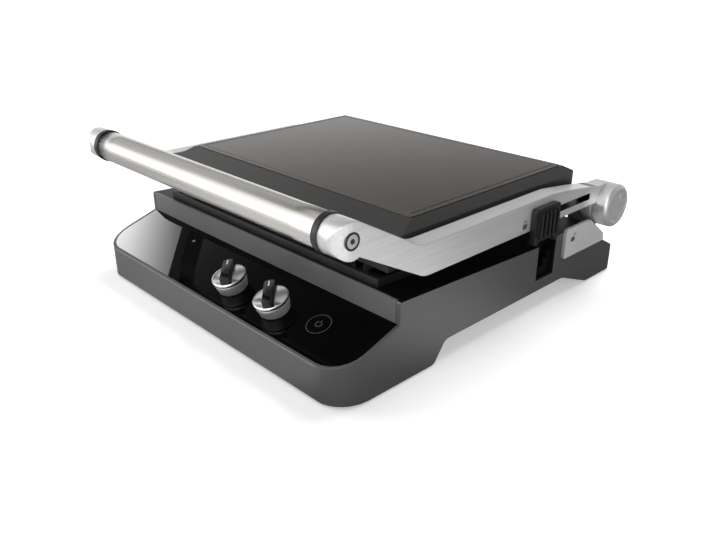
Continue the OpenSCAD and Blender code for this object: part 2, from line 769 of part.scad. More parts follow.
module arm_right() {
    web_in = arm_out - slot_web;
    color("#c9c9cb") at_floor() difference() {
        arm();
        // The slider's slot, and the pocket behind it for the slider's clip
        across(web_in - cut, arm_out + cut, [
            [slot_y0, slot_z - slot_h / 2, slot_r], [slot_y1, slot_z - slot_h / 2, slot_r],
            [slot_y1, slot_z + slot_h / 2, slot_r], [slot_y0, slot_z + slot_h / 2, slot_r]
        ]);
        box(arm_in - cut, slot_y0 - 3, slot_z - clip_h / 2 - move_gap, web_in, slot_y1 + 3, slot_z + clip_h / 2 + move_gap);
    }
}

module arm_left() {
    color("#c9c9cb") at_floor() mirror([1, 0, 0]) arm();
}

module handle_tube() {
    color("#d8d6d2") at_floor() difference() {
        bar_x(tube_r, ring_l - ring_x, ring_x - ring_l, handle_back, handle_z);
        bar_x(tube_r - 1.2, -ring_x, ring_x, handle_back, handle_z);
    }
}

module handle_rings() {
    color("#1c1c1c") at_floor() both_sides() difference() {
        union() {
            bar_x(ring_r, ring_x - ring_l, ring_x, handle_back, handle_z);
            bar_x(tube_r - 1.2 - fit_gap, ring_x - ring_l - 8, ring_x, handle_back, handle_z);
        }
        bar_x(4 + fit_gap, 0, ring_x + cut, handle_back, handle_z);
    }
}

module handle_core() {
    color("#a0a0a0") at_floor() {
        bar_x(4, fit_gap - ring_x, ring_x - fit_gap, handle_back, handle_z);
        bar_x(2.95, -arm_out + 4.5, arm_out - 4.5, handle_back, handle_z);
    }
}

module end_covers() {
    color("#bdbdbd") at_floor() both_sides() {
        bar_x(5.5, arm_out - 1.45, arm_out, handle_back, handle_z);
        bar_x(2.9, arm_out - 4.2, arm_out - 1.4, handle_back, handle_z);
    }
}

module hinge_bushes() {
    color("#b08d57") at_floor() both_sides() difference() {
        bar_x(hinge_pin_r + bush_t - 0.02, arm_in, boss_out, hinge_y, hinge_z);
        bar_x(hinge_pin_r + run_gap, arm_in - cut, boss_out + cut, hinge_y, hinge_z);
    }
}

// Round cap over the end of the hinge, with a dished face
module hinge_cap() {
    r = boss_r;
    l = hinge_cap_l;
    translate([boss_out, hinge_y, hinge_z]) rotate([0, 90, 0]) difference() {
        rotate_extrude() polygon([
            [0, pin_head_l + 1.5], [hinge_pin_r + 4, pin_head_l + 1.5], [hinge_pin_r + 4, 0], [r, 0], [r, l - 3.5],
            [r - 0.5, l - 1.8], [r - 1.8, l - 0.5], [r - 3.5, l], [r - 5, l], [r - 6, l - 0.8], [0, l - 0.8]
        ]);
        // Turning marks round the face
        for (a = [40, 160, 280])
            rotate([0, 0, a]) translate([7, -1, l - 1.4]) cube([4.5, 2, 3]);
    }
}

module hinge_cap_right() {
    color("#cfcfcf") at_floor() hinge_cap();
}

module hinge_cap_left() {
    color("#cfcfcf") at_floor() mirror([1, 0, 0]) hinge_cap();
}

module pivot_pins() {
    color("#8f8f8f") at_floor() both_sides()
        bar_x(pivot_pin_r - 0.01, lid_hw - 9, arm_in + pivot_depth - 0.1, pivot_y, pivot_z);
}

// -------------------------------------------------------------- slider

module height_slider() {
    x0 = arm_out + move_gap;
    neck_y = slot_y0 + move_gap + 0.2;
    color("#161616") at_floor() {
        difference() {
            across(x0, x0 + slider_t - 3, [
                [slider_y0, slider_z0, 2], [slider_y0 + slider_l, slider_z0, 2],
                [slider_y0 + slider_l, slider_z0 + slider_h, 3], [slider_y0, slider_z0 + slider_h, 3]
            ]);
            box(x0 + 2, slider_y0 + 6, slider_z0 - cut, x0 + slider_t, slider_y0 + slider_l - 6, slider_z0 + 4);
        }
        for (i = [0 : grip_ribs - 1])
            across(x0 + slider_t - 3.2, x0 + slider_t, [
                [slider_y0 + 5 + i * (slider_l - 12) / (grip_ribs - 1), slider_z0 + 5, 0.8],
                [slider_y0 + 7.4 + i * (slider_l - 12) / (grip_ribs - 1), slider_z0 + 5, 0.8],
                [slider_y0 + 7.4 + i * (slider_l - 12) / (grip_ribs - 1), slider_z0 + slider_h - 4, 0.8],
                [slider_y0 + 5 + i * (slider_l - 12) / (grip_ribs - 1), slider_z0 + slider_h - 4, 0.8]
            ]);
        // Neck that runs in the slot
        across(arm_out - slot_web - 0.5, x0 + 1, [
            [neck_y, slot_z - slot_h / 2 + move_gap, slot_r], [neck_y + neck_l, slot_z - slot_h / 2 + move_gap, slot_r],
            [neck_y + neck_l, slot_z + slot_h / 2 - move_gap, slot_r], [neck_y, slot_z + slot_h / 2 - move_gap, slot_r]
        ]);
    }
}

module slider_clip() {
    x1 = arm_out - slot_web - 0.55;
    y0 = slot_y0 - 2;
    color("#8f8f8f") at_floor()
        box(arm_in + 0.5, y0, slot_z - clip_h / 2, x1, y0 + neck_l + 6, slot_z + clip_h / 2);
}

// ----------------------------------------------------------------- lid

// The lid's outer form: straight walls and a bevel round the top
module lid_form() {
    intersection() {
        across(-lid_hw, lid_hw, [
            [lid_front, lid_low, 0], [lid_front, lid_edge_z - 1.6, 2], [lid_front + lid_bevel_front, lid_top - 0.8, 0],
            [lid_rear - lid_bevel_rear, lid_top - 0.8, 0], [lid_rear, lid_edge_z, 2], [lid_rear, lid_low, 0]
        ]);
        backward(lid_front, lid_rear, [
            [-lid_hw, lid_low, 0], [-lid_hw, lid_edge_z, 2], [lid_bevel_side - lid_hw, lid_top - 0.8, 0],
            [lid_hw - lid_bevel_side, lid_top - 0.8, 0], [lid_hw, lid_edge_z, 2], [lid_hw, lid_low, 0]
        ]);
        upward(lid_low, lid_top, [
            [-lid_hw, lid_front, 5], [lid_hw, lid_front, 5], [lid_hw, lid_rear, 5], [-lid_hw, lid_rear, 5]
        ]);
    }
}

// Plan outline of the lid's top panel, shrunk by gap
function top_panel_plan(gap) =
    let (
        x = lid_hw - lid_bevel_side - seat_margin - gap,
        y0 = lid_front + lid_bevel_front + seat_margin + gap,
        y1 = lid_rear - lid_bevel_rear - seat_margin - gap
    ) [[-x, y0, 3], [x, y0, 3], [x, y1, 3], [-x, y1, 3]];

function lid_screw_places() = [for (x = [-1, 1], y = [lid_front + 24, lid_rear - 22]) [x * (lid_hw - 5.6), y]];

module lid_shell() {
    roof = lid_top - 0.8 - seat_depth - 1.8;
    color("#3c3b39") at_floor() difference() {
        union() {
            difference() {
                lid_form();
                mid_box(lid_hw - lid_wall, lid_front + lid_wall, lid_low - cut, lid_rear - lid_wall, lid_edge_z - 4);
                mid_box(lid_hw - lid_bevel_side - 3.5, lid_front + lid_bevel_front + 3, lid_low, lid_rear - lid_bevel_rear - 3, roof);
            }
            // Screw posts and pivot bosses
            for (p = lid_screw_places())
                translate([p[0], p[1], lid_low + 3.1]) cylinder(r = screw_post_r, h = lid_edge_z - 3 - lid_low - 3.1, $fn = 32);
            both_sides() bar_x(pivot_pin_r + bush_t + 2.1, lid_hw - 9, lid_hw - 1, pivot_y, pivot_z);
        }
        upward(lid_top - 0.8 - seat_depth, lid_top + cut, top_panel_plan(0));
        both_sides() bar_x(pivot_pin_r + bush_t, lid_hw - 12, lid_hw + cut, pivot_y, pivot_z);
        for (p = lid_screw_places())
            translate([p[0], p[1], lid_low]) cylinder(r = 1.9, h = 16, $fn = 24);
    }
}

module lid_top_panel() {
    color("#5b5552") at_floor() difference() {
        upward(lid_top - 0.8 - seat_depth, lid_top, top_panel_plan(fit_gap));
        // Shallow groove that frames the panel
        difference() {
            upward(lid_top - 0.4, lid_top + cut, top_panel_plan(5));
            upward(lid_top - 1, lid_top + 2 * cut, top_panel_plan(6.2));
        }
    }
}

module lid_frame() {
    color("#77777a") at_floor() difference() {
        mid_box(lid_hw - lid_wall - fit_gap, lid_front + lid_wall + fit_gap, lid_low, lid_rear - lid_wall - fit_gap, lid_low + 3);
        mid_box(upper_hw + fit_gap, upper_front - fit_gap, lid_low - cut, upper_rear + fit_gap, lid_low + 4);
        for (p = lid_screw_places()) translate([p[0], p[1], lid_low - cut]) {
            cylinder(r = 2.1, h = 6, $fn = 24);
            cylinder(r = 3 + fit_gap, h = 2.6, $fn = 32);
        }
    }
}

module lid_screws() {
    color("#8a8a8a") at_floor() for (p = lid_screw_places()) translate([p[0], p[1], lid_low + 0.1]) {
        cylinder(r = 3, h = 1.4, $fn = 32);
        cylinder(r = 1.8, h = 14, $fn = 24);
    }
}

module pivot_bushes() {
    color("#b08d57") at_floor() both_sides() difference() {
        bar_x(pivot_pin_r + bush_t - 0.02, lid_hw - 9, lid_hw + 6.4, pivot_y, pivot_z);
        bar_x(pivot_pin_r + run_gap, lid_hw - 12, lid_hw + 7, pivot_y, pivot_z);
    }
}

// ------------------------------------------------------------ controls

// Flared lower ring of a knob
module knob_skirt(x) {
    h = knob_h * 0.48;
    translate([x, knob_up, move_gap]) rotate_extrude() polygon([
        [shaft_r + 0.1, 0], [knob_r - 2.6, 0], [knob_r - 2.2, 0.5],
        [knob_r - 0.5, h - 1], [knob_r - 0.7, h], [shaft_r + 0.1, h]
    ]);
}

// Upper drum of a knob, with a grip bar across its top
module knob_cap(x) {
    h0 = knob_h * 0.48 + move_gap + 0.02;
    drum_h = knob_h - 6 - h0;
    translate([x, knob_up, h0]) difference() {
        union() {
            rotate_extrude() polygon([
                [0, 0], [knob_r - 1, 0], [knob_r - 1, 0.7], [knob_r, 1.2], [knob_r, drum_h - 1.5],
                [knob_r - 0.5, drum_h - 0.4], [knob_r - 1.4, drum_h], [0, drum_h]
            ]);
            intersection() {
                cylinder(r = knob_r - 0.8, h = 40);
                backward(-knob_r, knob_r, [[-4.2, drum_h - 1, 0], [-3.2, drum_h + 6, 1.2], [3.2, drum_h + 6, 1.2], [4.2, drum_h - 1, 0]]);
            }
        }
        translate([0, 0, -cut]) cylinder(r = shaft_r + 0.1, h = 8 + cut);
    }
}

module knob_shaft(x) {
    drop = panel_t + panel_gap + shelf_t + 7.5;
    translate([x, knob_up, -drop]) cylinder(r = shaft_r, h = drop + knob_h * 0.48 + 7);
}

module temp_knob_skirt() {
    color("#b9b9b9") at_floor() on_panel() knob_skirt(knob_x);
}

module temp_knob_cap() {
    color("#1a1a1a") at_floor() on_panel() knob_cap(knob_x);
}

module temp_knob_shaft() {
    color("#8f8f8f") at_floor() on_panel() knob_shaft(knob_x);
}

module timer_knob_skirt() {
    color("#b9b9b9") at_floor() on_panel() knob_skirt(knob_x + knob_pitch);
}

module timer_knob_cap() {
    color("#1a1a1a") at_floor() on_panel() knob_cap(knob_x + knob_pitch);
}

module timer_knob_shaft() {
    color("#8f8f8f") at_floor() on_panel() knob_shaft(knob_x + knob_pitch);
}

module power_button() {
    drop = panel_t + panel_gap + shelf_t;
    color("#101012") at_floor() on_panel() translate([button_x, button_up, 0]) difference() {
        union() {
            translate([0, 0, -panel_t]) cylinder(r = button_r, h = panel_t + 0.4);
            translate([0, 0, button_travel + move_gap - drop - 2.8]) cylinder(r = 3.5, h = drop + 1);
        }
        // Ring groove on the button's face
        translate([0, 0, 0.1]) difference() {
            cylinder(r = button_r - 1, h = 1);
            translate([0, 0, -cut]) cylinder(r = button_r - 2, h = 4);
        }
    }
}

base_housing();
bottom_cover();
rubber_feet();
cover_screws();
front_strip();
control_panel();
indicator_lamp();
thermostat();
timer_unit();
control_board();
lower_plate();
lower_heater();
lower_reflector();
side_plate_right();
side_plate_left();
hinge_pin_right();
hinge_pin_left();
slider_stop();
cord_gland();
terminal_block();
thermal_fuse();
drip_tray();
arm_right();
arm_left();
handle_tube();
handle_rings();
handle_core();
end_covers();
hinge_bushes();
hinge_cap_right();
hinge_cap_left();
pivot_pins();
height_slider();
slider_clip();
lid_shell();
lid_top_panel();
lid_frame();
upper_plate();
upper_heater();
upper_reflector();
lid_screws();
pivot_bushes();
temp_knob_skirt();
temp_knob_cap();
temp_knob_shaft();
timer_knob_skirt();
timer_knob_cap();
timer_knob_shaft();
power_button();
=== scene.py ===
"""Looks of an electric contact grill: finishes, edges, marks, controls and a plain studio."""

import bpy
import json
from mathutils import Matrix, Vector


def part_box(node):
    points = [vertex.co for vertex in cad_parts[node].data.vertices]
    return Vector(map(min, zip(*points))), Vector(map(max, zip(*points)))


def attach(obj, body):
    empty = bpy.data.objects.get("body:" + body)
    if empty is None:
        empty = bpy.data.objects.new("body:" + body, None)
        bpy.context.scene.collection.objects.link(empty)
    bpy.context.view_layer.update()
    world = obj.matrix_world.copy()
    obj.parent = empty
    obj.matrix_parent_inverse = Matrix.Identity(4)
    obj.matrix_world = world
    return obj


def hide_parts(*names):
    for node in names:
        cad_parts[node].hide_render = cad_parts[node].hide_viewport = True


bl_info = {
    "name": "Contact grill looks",
    "version": (1, 0, 0),
    "blender": (4, 5, 0),
    "location": "3D View > Sidebar > Grill",
    "description": "Dresses the packed contact grill with its finishes and small pieces",
    "category": "Add Mesh",
}

import json
import math

import bmesh
import bpy
from mathutils import Matrix, Vector

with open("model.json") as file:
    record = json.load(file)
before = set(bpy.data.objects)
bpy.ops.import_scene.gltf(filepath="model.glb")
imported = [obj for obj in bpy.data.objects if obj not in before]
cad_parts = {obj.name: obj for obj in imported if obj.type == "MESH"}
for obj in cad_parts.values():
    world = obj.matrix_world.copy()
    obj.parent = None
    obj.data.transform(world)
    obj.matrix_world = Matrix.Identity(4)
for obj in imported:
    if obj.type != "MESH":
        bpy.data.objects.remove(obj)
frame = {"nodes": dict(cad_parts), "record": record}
NODES = frame["nodes"]
SLOT_OF = {part["node"]: part["material_slot"] for part in frame["record"]["subparts"]}
MM = 0.001
# Corners of the frame's loose triangles that are closer than this are one.
SAME_PLACE = 0.01 * MM

# The sloping panel rises 20 mm over a run of 60 mm, from a sill at this height.
PANEL_SLOPE = math.atan2(20, 60)
PANEL_SILL = 31.6 * MM
# Each knob's place across the panel, with the body that it turns with, and their place up it.
KNOBS = {"temp": (17.0 * MM, "temperature_knob"), "timer": (73.8 * MM, "timer_knob")}
KNOB_UP = 25.5 * MM
# The skirts' height over the panel, and the grips' foot and top over the skirts.
KNOB_SKIRT_TOP = 9.92 * MM
GRIP_FOOT = 3.2 * MM
GRIP_TOP = 10.05 * MM
# The housing's level faces from this height up are its deck, painted black as the shade under the lid
# and arms.
SHADED_DECK_FROM = 58 * MM
# The button's place across and up the panel, and its face's height over it.
BUTTON_PLACE = (119.0 * MM, 32.2 * MM)
BUTTON_FACE = 0.41 * MM
# The lock marks' places along and up the right arm, and along and up the right side plate.
LOCK_ON_ARM = (20.5 * MM, 91.5 * MM)
LOCK_ON_PLATE = (104.5 * MM, 57.0 * MM)

# Sections to be turned, in millimetres: out from the outer radius, and up.
KNOB_RIM = (
    (-1.0, 0.02), (-1.0, 0.7), (-0.15, 1.0), (0.0, 1.3), (0.0, 2.7), (-0.12, 3.2), (-0.45, 3.55),
    (-0.9, 3.7),
)
ELBOW_RING = (
    (-1.5, -0.3), (-1.5, 0.25), (-1.2, 0.5), (-0.4, 0.5), (0.0, 0.1), (0.0, -0.3), (-1.5, -0.3),
)


def linear(hex_value):
    """An sRGB hex colour as linear red, green and blue."""
    parts = [int(hex_value[i : i + 2], 16) / 255 for i in (1, 3, 5)]
    return tuple(c / 12.92 if c <= 0.04045 else ((c + 0.055) / 1.055) ** 2.4 for c in parts)


# ------------------------------------------------------------ sizes and colours


def length(name, description, default):
    """A length in metres that a user may change."""
    return bpy.props.FloatProperty(
        name=name, description=description, default=default, min=0.0, unit="LENGTH", precision=5
    )


def angle(name, description, degrees):
    """An angle that a user may change."""
    turn = math.radians(degrees)
    return bpy.props.FloatProperty(name=name, description=description, default=turn, subtype="ANGLE")


def light(name, description, default):
    """The strength of a light that a user may change."""
    return bpy.props.FloatProperty(name=name, description=description, default=default, min=0)


def colour(name, description, hex_value):
    """A colour that a user may change."""
    tone = linear(hex_value)
    return bpy.props.FloatVectorProperty(
        name=name, description=description, default=tone, subtype="COLOR", size=3, min=0, max=1
    )


class GrillSizes(bpy.types.PropertyGroup):
    """Sizes of what is modelled here"""

    cast_edge: length("Cast edge", "Rounding of the cast arms' long edges", 1.2 * MM)
    lid_edge: length("Lid edge", "Rounding of the lid's edges", 0.9 * MM)
    moulded_edge: length("Moulded edge", "Rounding seen on moulded edges", 0.5 * MM)
    mark_lift: length("Mark lift", "How far a printed mark stands on its surface", 0.08 * MM)
    lock_mark: length("Lock mark", "Height of the lock marks", 8.0 * MM)
    knob_radius: length("Knob radius", "Largest radius of a knob", 14.8 * MM)
    knob_dome: length("Knob dome", "Rise of a knob's face towards its middle", 1.5 * MM)
    grip_width: length("Grip width", "Width of the bar across a knob", 9.2 * MM)
    grip_turn: angle("Grip turn", "Turn of the bars from straight up", 45)
    button_radius: length("Button radius", "Radius of the power button", 10.5 * MM)
    cover_ring: length("Cover ring", "Outer radius of the ring about an elbow's cover", 6.4 * MM)


class GrillColours(bpy.types.PropertyGroup):
    """Colours of the finishes"""

    housing: colour("Housing", "Moulded base", "#646465")
    strip: colour("Strip", "Lacquered strip over the panel", "#787878")
    panel: colour("Control panel", "Back-printed gloss panel", "#050506")
    black: colour("Black plastic", "Handle rings, elbow rings and inserts", "#0f0f10")
    arm: colour("Arms", "Silver lacquer on the castings", "#dadada")
    tube: colour("Handle tube", "Brushed stainless steel", "#d0cdc9")
    lid: colour("Lid", "Dark lacquer of the lid's frame", "#3d3c3b")
    lid_panel: colour("Lid panel", "Tinted brushed sheet", "#5c5653")
    coating: colour("Plate coating", "Non-stick coating of the plates", "#232325")
    chrome: colour("Chrome", "Plating on the knobs' faces", "#dcdcdc")
    marks: colour("Marks", "Printed pointer lines", "#e4e4e4")
    faint: colour("Faint marks", "Marks on the button", "#4a4a4d")


class StudioSettings(bpy.types.PropertyGroup):
    """Camera and light"""

    camera_place: bpy.props.FloatVectorProperty(
        name="Camera place",
        description="Where the camera stands",
        default=(0.48735, -0.46686, 0.30388),
        subtype="XYZ",
    )
    camera_tilt: angle("Camera tilt", "Angle from straight down", 65.71)
    camera_turn: angle("Camera turn", "Angle about the vertical", 46.34)
    lens: bpy.props.FloatProperty(
        name="Lens", description="Focal length in millimetres", default=36.47, min=10
    )
    ambient: light("Ambient", "Strength of the sky's light", 0.27)
    key_light: light("Key light", "Power of the main lamp", 25)
    fill_light: light("Fill light", "Power of the second lamp", 2.5)
    top_light: light("Top light", "Power of the lamp overhead", 20)
    side_box: light("Side box", "Strength of the narrow box mirrored in the panel's left end", 36)
    floor_glow: light("Floor glow", "Lift of the floor's white where it is seen", 0.38)


# ------------------------------------------------------------ nodes


def join(tree, source, socket):
    """Links a socket, or a node's first output, to an input."""
    if isinstance(source, bpy.types.Node):
        source = source.outputs[0]
    tree.links.new(source, socket)


def add(tree, kind, inputs=None, **settings):
    """Adds a node with its settings, and sets or links its inputs."""
    made = tree.nodes.new(kind)
    for key, value in settings.items():
        setattr(made, key, value)
    for key, value in (inputs or {}).items():
        if isinstance(value, (bpy.types.Node, bpy.types.NodeSocket)):
            join(tree, value, made.inputs[key])
        else:
            made.inputs[key].default_value = value
    return made


# A mix of numbers takes them at these inputs.
NUMBER_A = 2
NUMBER_B = 3
# A mix of colours takes them at these, and gives its result at this output.
COLOUR_A = 6
COLOUR_B = 7
COLOUR_MIXED = 2


class Finish:
    """A material in the making, with its constants on the shader's own sockets."""

    def __init__(self, base, metallic, roughness, **more):
        self.material = bpy.data.materials.new("finish")
        self.material.use_nodes = True
        self.material.diffuse_color = (*base, 1)
        self.base = base
        self.tree = self.material.node_tree
        self.shader = self.tree.nodes["Principled BSDF"]
        self.place = add(self.tree, "ShaderNodeTexCoord").outputs["Object"]
        values = {"Base Color": (*base, 1), "Metallic": metallic, "Roughness": roughness, **more}
        for key, value in values.items():
            self.shader.inputs[key.replace("_", " ")].default_value = value

    def feed(self, name, source):
        """Lets a socket, or a node's first output, drive one of the shader's inputs."""
        join(self.tree, source, self.shader.inputs[name])

    def grain(self, size, detail=2.0, stretch=(1, 1, 1)):
        """Noise whose spots are size metres across, drawn out along an axis by stretch."""
        scale = [1 / (size * s) for s in stretch]
        spread = add(self.tree, "ShaderNodeMapping", {"Vector": self.place, "Scale": scale})
        inputs = {"Vector": spread, "Scale": 1.0, "Detail": detail}
        return add(self.tree, "ShaderNodeTexNoise", inputs)

    def tint(self, factor, low, high):
        """Lets the colour run from low to high."""
        inputs = {0: factor, COLOUR_A: low, COLOUR_B: high}
        mix = add(self.tree, "ShaderNodeMix", inputs, data_type="RGBA")
        self.feed("Base Color", mix.outputs[COLOUR_MIXED])

    def vary(self, factor, amount):
        """Lets the colour run from a little darker to a little lighter than the base."""
        dark = [c * (1 - amount) for c in self.base]
        light = [min(1, c * (1 + amount)) for c in self.base]
        self.tint(factor, (*dark, 1), (*light, 1))

    def blacken(self, mask, tone):
        """Lays another tone over the colour where mask is 1."""
        below = self.shader.inputs["Base Color"].links[0].from_socket
        self.tint(mask, below, (*tone, 1))

    def rough(self, factor, low, high):
        """Lets the roughness run from low to high."""
        span = add(self.tree, "ShaderNodeMapRange", {"Value": factor, "To Min": low, "To Max": high})
        self.feed("Roughness", span)

    def relief(self, height, strength, depth, edge=0.0):
        """Bump from a height, over edges rounded by edge metres."""
        inputs = {"Height": height, "Strength": strength, "Distance": depth}
        if edge > 0:
            inputs["Normal"] = add(self.tree, "ShaderNodeBevel", {"Radius": edge}, samples=6)
        self.feed("Normal", add(self.tree, "ShaderNodeBump", inputs))

    def between(self, low, high):
        """1 inside a box given by its two corners, and 0 outside it."""
        spot = add(self.tree, "ShaderNodeSeparateXYZ", {0: self.place}).outputs
        inside = 1.0
        for axis in range(3):
            middle = 0.5 * (low[axis] + high[axis])
            reach = 0.5 * (high[axis] - low[axis])
            span = {0: spot[axis], 1: middle, 2: reach}
            near = add(self.tree, "ShaderNodeMath", span, operation="COMPARE")
            inside = add(self.tree, "ShaderNodeMath", {0: inside, 1: near}, operation="MULTIPLY")
        return inside


# ------------------------------------------------------------ finishes

# Each function describes one finish, and its material takes the function's name. The pebbles,
# brush lines and flakes of the real ones are 0.1 to 0.3 mm wide. Here they are about 1 mm, as
# coarse as they need to be to show in a picture of the whole grill.


def moulded_abs(colours, sizes):
    """ABS with a metallic grey lacquer, finely pebbled by its mould.

    Its level faces under the lid are painted black as shade.
    """
    made = Finish(colours.housing, 0.55, 0.4)
    pebble = made.grain(1.1 * MM)
    made.vary(made.grain(60 * MM), 0.05)
    normal = add(made.tree, "ShaderNodeTexCoord").outputs["Normal"]
    up = add(made.tree, "ShaderNodeSeparateXYZ", {0: normal}).outputs[2]
    level = add(made.tree, "ShaderNodeMath", {0: up, 1: 0.95}, operation="GREATER_THAN")
    high = made.between((-1, -1, SHADED_DECK_FROM), (1, 1, 1))
    shaded_deck = add(made.tree, "ShaderNodeMath", {0: level, 1: high}, operation="MULTIPLY")
    # Painted shade: the deck's upward faces under the lid are laid over in near black.
    made.blacken(shaded_deck, linear("#08080a"))
    made.rough(pebble, 0.36, 0.5)
    made.relief(pebble, 0.12, 0.05 * MM, sizes.moulded_edge)
    return made


def black_abs(colours, sizes):
    """Black ABS from a fine mould: deep and slightly satin, with pebbled highlights; it also paints
    the shade of the screw recesses and hex sockets.
    """
    made = Finish(colours.black, 0, 0.4)
    pebble = made.grain(1.0 * MM)
    made.vary(made.grain(30 * MM), 0.15)
    made.rough(pebble, 0.33, 0.48)
    made.relief(pebble, 0.15, 0.05 * MM, sizes.moulded_edge)
    return made


def printed_acrylic(colours, sizes):
    """Acrylic sheet printed black on its back: a mirror-like skin over black, with faint waves."""
    made = Finish(colours.panel, 0, 0.05, Specular_IOR_Level=0.05)
    wave = made.grain(45 * MM, 1.0)
    made.rough(made.grain(12 * MM), 0.02, 0.045)
    made.relief(wave, 0.05, 0.3 * MM, 0.4 * MM)
    return made


def strip_lacquer(colours, sizes):
    """Aluminium strip, brushed along its length and lacquered dark grey: long faint lines."""
    made = Finish(colours.strip, 0.1, 0.4, Specular_IOR_Level=0.35)
    lines = made.grain(0.9 * MM, 3.0, (60, 1, 1))
    made.vary(lines, 0.12)
    made.rough(lines, 0.3, 0.46)
    made.relief(lines, 0.1, 0.04 * MM, 0.3 * MM)
    return made


def moulded_rubber(colours, sizes):
    """Black rubber, pressed in a blasted mould: dull, with dusty lighter patches."""
    made = Finish(linear("#1c1c1c"), 0, 0.85)
    dust = made.grain(5 * MM, 4.0)
    made.vary(dust, 0.3)
    made.rough(dust, 0.78, 0.92)
    made.relief(made.grain(0.8 * MM), 0.2, 0.1 * MM, 0.4 * MM)
    return made


def turned_steel(colours, sizes):
    """Zinc-plated steel, turned: bright, with fine rings about its length and cloudy plating."""
    made = Finish(linear("#b9b9b6"), 1, 0.3)
    rings = made.grain(0.5 * MM, 2.0, (0.5, 4, 4))
    made.vary(made.grain(6 * MM), 0.1)
    made.rough(rings, 0.22, 0.4)
    made.relief(rings, 0.1, 0.03 * MM, 0.2 * MM)
    return made


def silver_lacquer(colours, sizes):
    """Die-cast aluminium, linished front to back under silver lacquer: long soft streaks.

    Inside the slider's slot it is painted black as shade.
    """
    made = Finish(colours.arm, 0.6, 0.34, Coat_Weight=0.2, Coat_Roughness=0.25)
    streaks = made.grain(1.5 * MM, 3.0, (1, 45, 1))
    made.vary(streaks, 0.16)
    # Painted shade: a box about the slider's slot, inside the arm's outer face, is laid over in near
    # black.
    low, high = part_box("slider_clip")
    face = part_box("arm_right")[1].x
    begin = (0.1, low.y - 3 * MM, low.z - 3 * MM)
    end = (face - 0.6 * MM, high.y + 70 * MM, high.z + 3 * MM)
    made.blacken(made.between(begin, end), linear("#0a0a0b"))
    made.rough(streaks, 0.28, 0.44)
    made.relief(streaks, 0.06, 0.04 * MM, sizes.cast_edge)
    return made


def brushed_steel(colours, sizes):
    """Stainless tube, ground along its length: long streaks, and a broad soft highlight."""
    made = Finish(colours.tube, 1, 0.27)
    streaks = made.grain(1.6 * MM, 2.0, (120, 1, 1))
    made.vary(streaks, 0.14)
    made.rough(streaks, 0.2, 0.34)
    made.relief(streaks, 0.1, 0.03 * MM)
    return made


def lid_lacquer(colours, sizes):
    """Aluminium lid under dark grey lacquer: satin, with an orange-peel skin that blurs highlights."""
    made = Finish(colours.lid, 0.3, 0.33, Coat_Weight=0.2, Coat_Roughness=0.2)
    peel = made.grain(2.2 * MM)
    made.vary(made.grain(70 * MM), 0.07)
    made.rough(peel, 0.28, 0.4)
    made.relief(peel, 0.08, 0.06 * MM, sizes.lid_edge)
    return made


def tinted_sheet(colours, sizes):
    """Stainless sheet, brushed front to back and tinted warm grey: lines that stretch highlights."""
    made = Finish(colours.lid_panel, 0.85, 0.2)
    lines = made.grain(1.0 * MM, 3.0, (1, 70, 1))
    made.vary(lines, 0.07)
    made.rough(lines, 0.17, 0.25)
    made.relief(lines, 0.05, 0.03 * MM, 0.4 * MM)
    return made


def non_stick(colours, sizes):
    """PTFE coating sprayed on cast aluminium: near black, satin, with light mineral specks."""
    made = Finish(colours.coating, 0, 0.38)
    specks = made.grain(1.2 * MM, 1.0)
    few = add(made.tree, "ShaderNodeMapRange", {"Value": specks, "From Min": 0.68, "From Max": 0.74})
    made.vary(few, 0.45)
    made.rough(made.grain(3 * MM), 0.3, 0.46)
    made.relief(specks, 0.18, 0.06 * MM, 0.5 * MM)
    return made


def sheathed_element(colours, sizes):
    """Steel sheath of a heating element, annealed: straw to blue-grey patches from heat."""
    made = Finish(linear("#8a8179"), 1, 0.45)
    heat = made.grain(28 * MM)
    made.tint(heat, (*linear("#7b7f86"), 1), (*linear("#9a8568"), 1))
    made.rough(made.grain(4 * MM), 0.38, 0.55)
    made.relief(heat, 0.05, 0.05 * MM, 0.2 * MM)
    return made


def aluminised_sheet(colours, sizes):
    """Aluminised steel sheet, folded: bright with a cloudy spangle."""
    made = Finish(linear("#c4c4c0"), 1, 0.35)
    cells = add(made.tree, "ShaderNodeTexVoronoi", {"Vector": made.place, "Scale": 1 / (6 * MM)})
    tone = add(made.tree, "ShaderNodeSeparateColor", {0: cells.outputs["Color"]})
    made.vary(tone, 0.08)
    made.rough(tone, 0.27, 0.42)
    made.relief(made.grain(9 * MM), 0.05, 0.1 * MM, 0.2 * MM)
    return made


def chrome_plate(colours, sizes):
    """Chrome-plated ABS: a near mirror whose waves come from the moulding."""
    made = Finish(colours.chrome, 1, 0.08)
    wave = made.grain(8 * MM, 1.0)
    made.rough(wave, 0.05, 0.12)
    made.relief(wave, 0.06, 0.1 * MM, 0.4 * MM)
    return made


def sintered_bronze(colours, sizes):
    """Bronze bush pressed from powder: matt golden brown with dark oil-filled pores."""
    made = Finish(linear("#a67c4a"), 1, 0.48)
    pores = made.grain(0.7 * MM, 1.0)
    made.vary(pores, 0.25)
    made.rough(pores, 0.4, 0.6)
    made.relief(pores, 0.3, 0.05 * MM, 0.2 * MM)
    return made


def circuit_board(colours, sizes):
    """Epoxy board under green solder mask: glossy, with lighter copper runs beneath."""
    made = Finish(linear("#1d4a2b"), 0, 0.3)
    black = (0, 0, 0, 1)
    bricks = {"Scale": 1 / (9 * MM), "Mortar Size": 0.08, "Color1": black, "Color2": black}
    bricks["Vector"] = made.place
    runs = add(made.tree, "ShaderNodeTexBrick", bricks).outputs["Fac"]
    made.vary(runs, 0.35)
    made.relief(runs, 0.2, 0.05 * MM, 0.2 * MM)
    return made


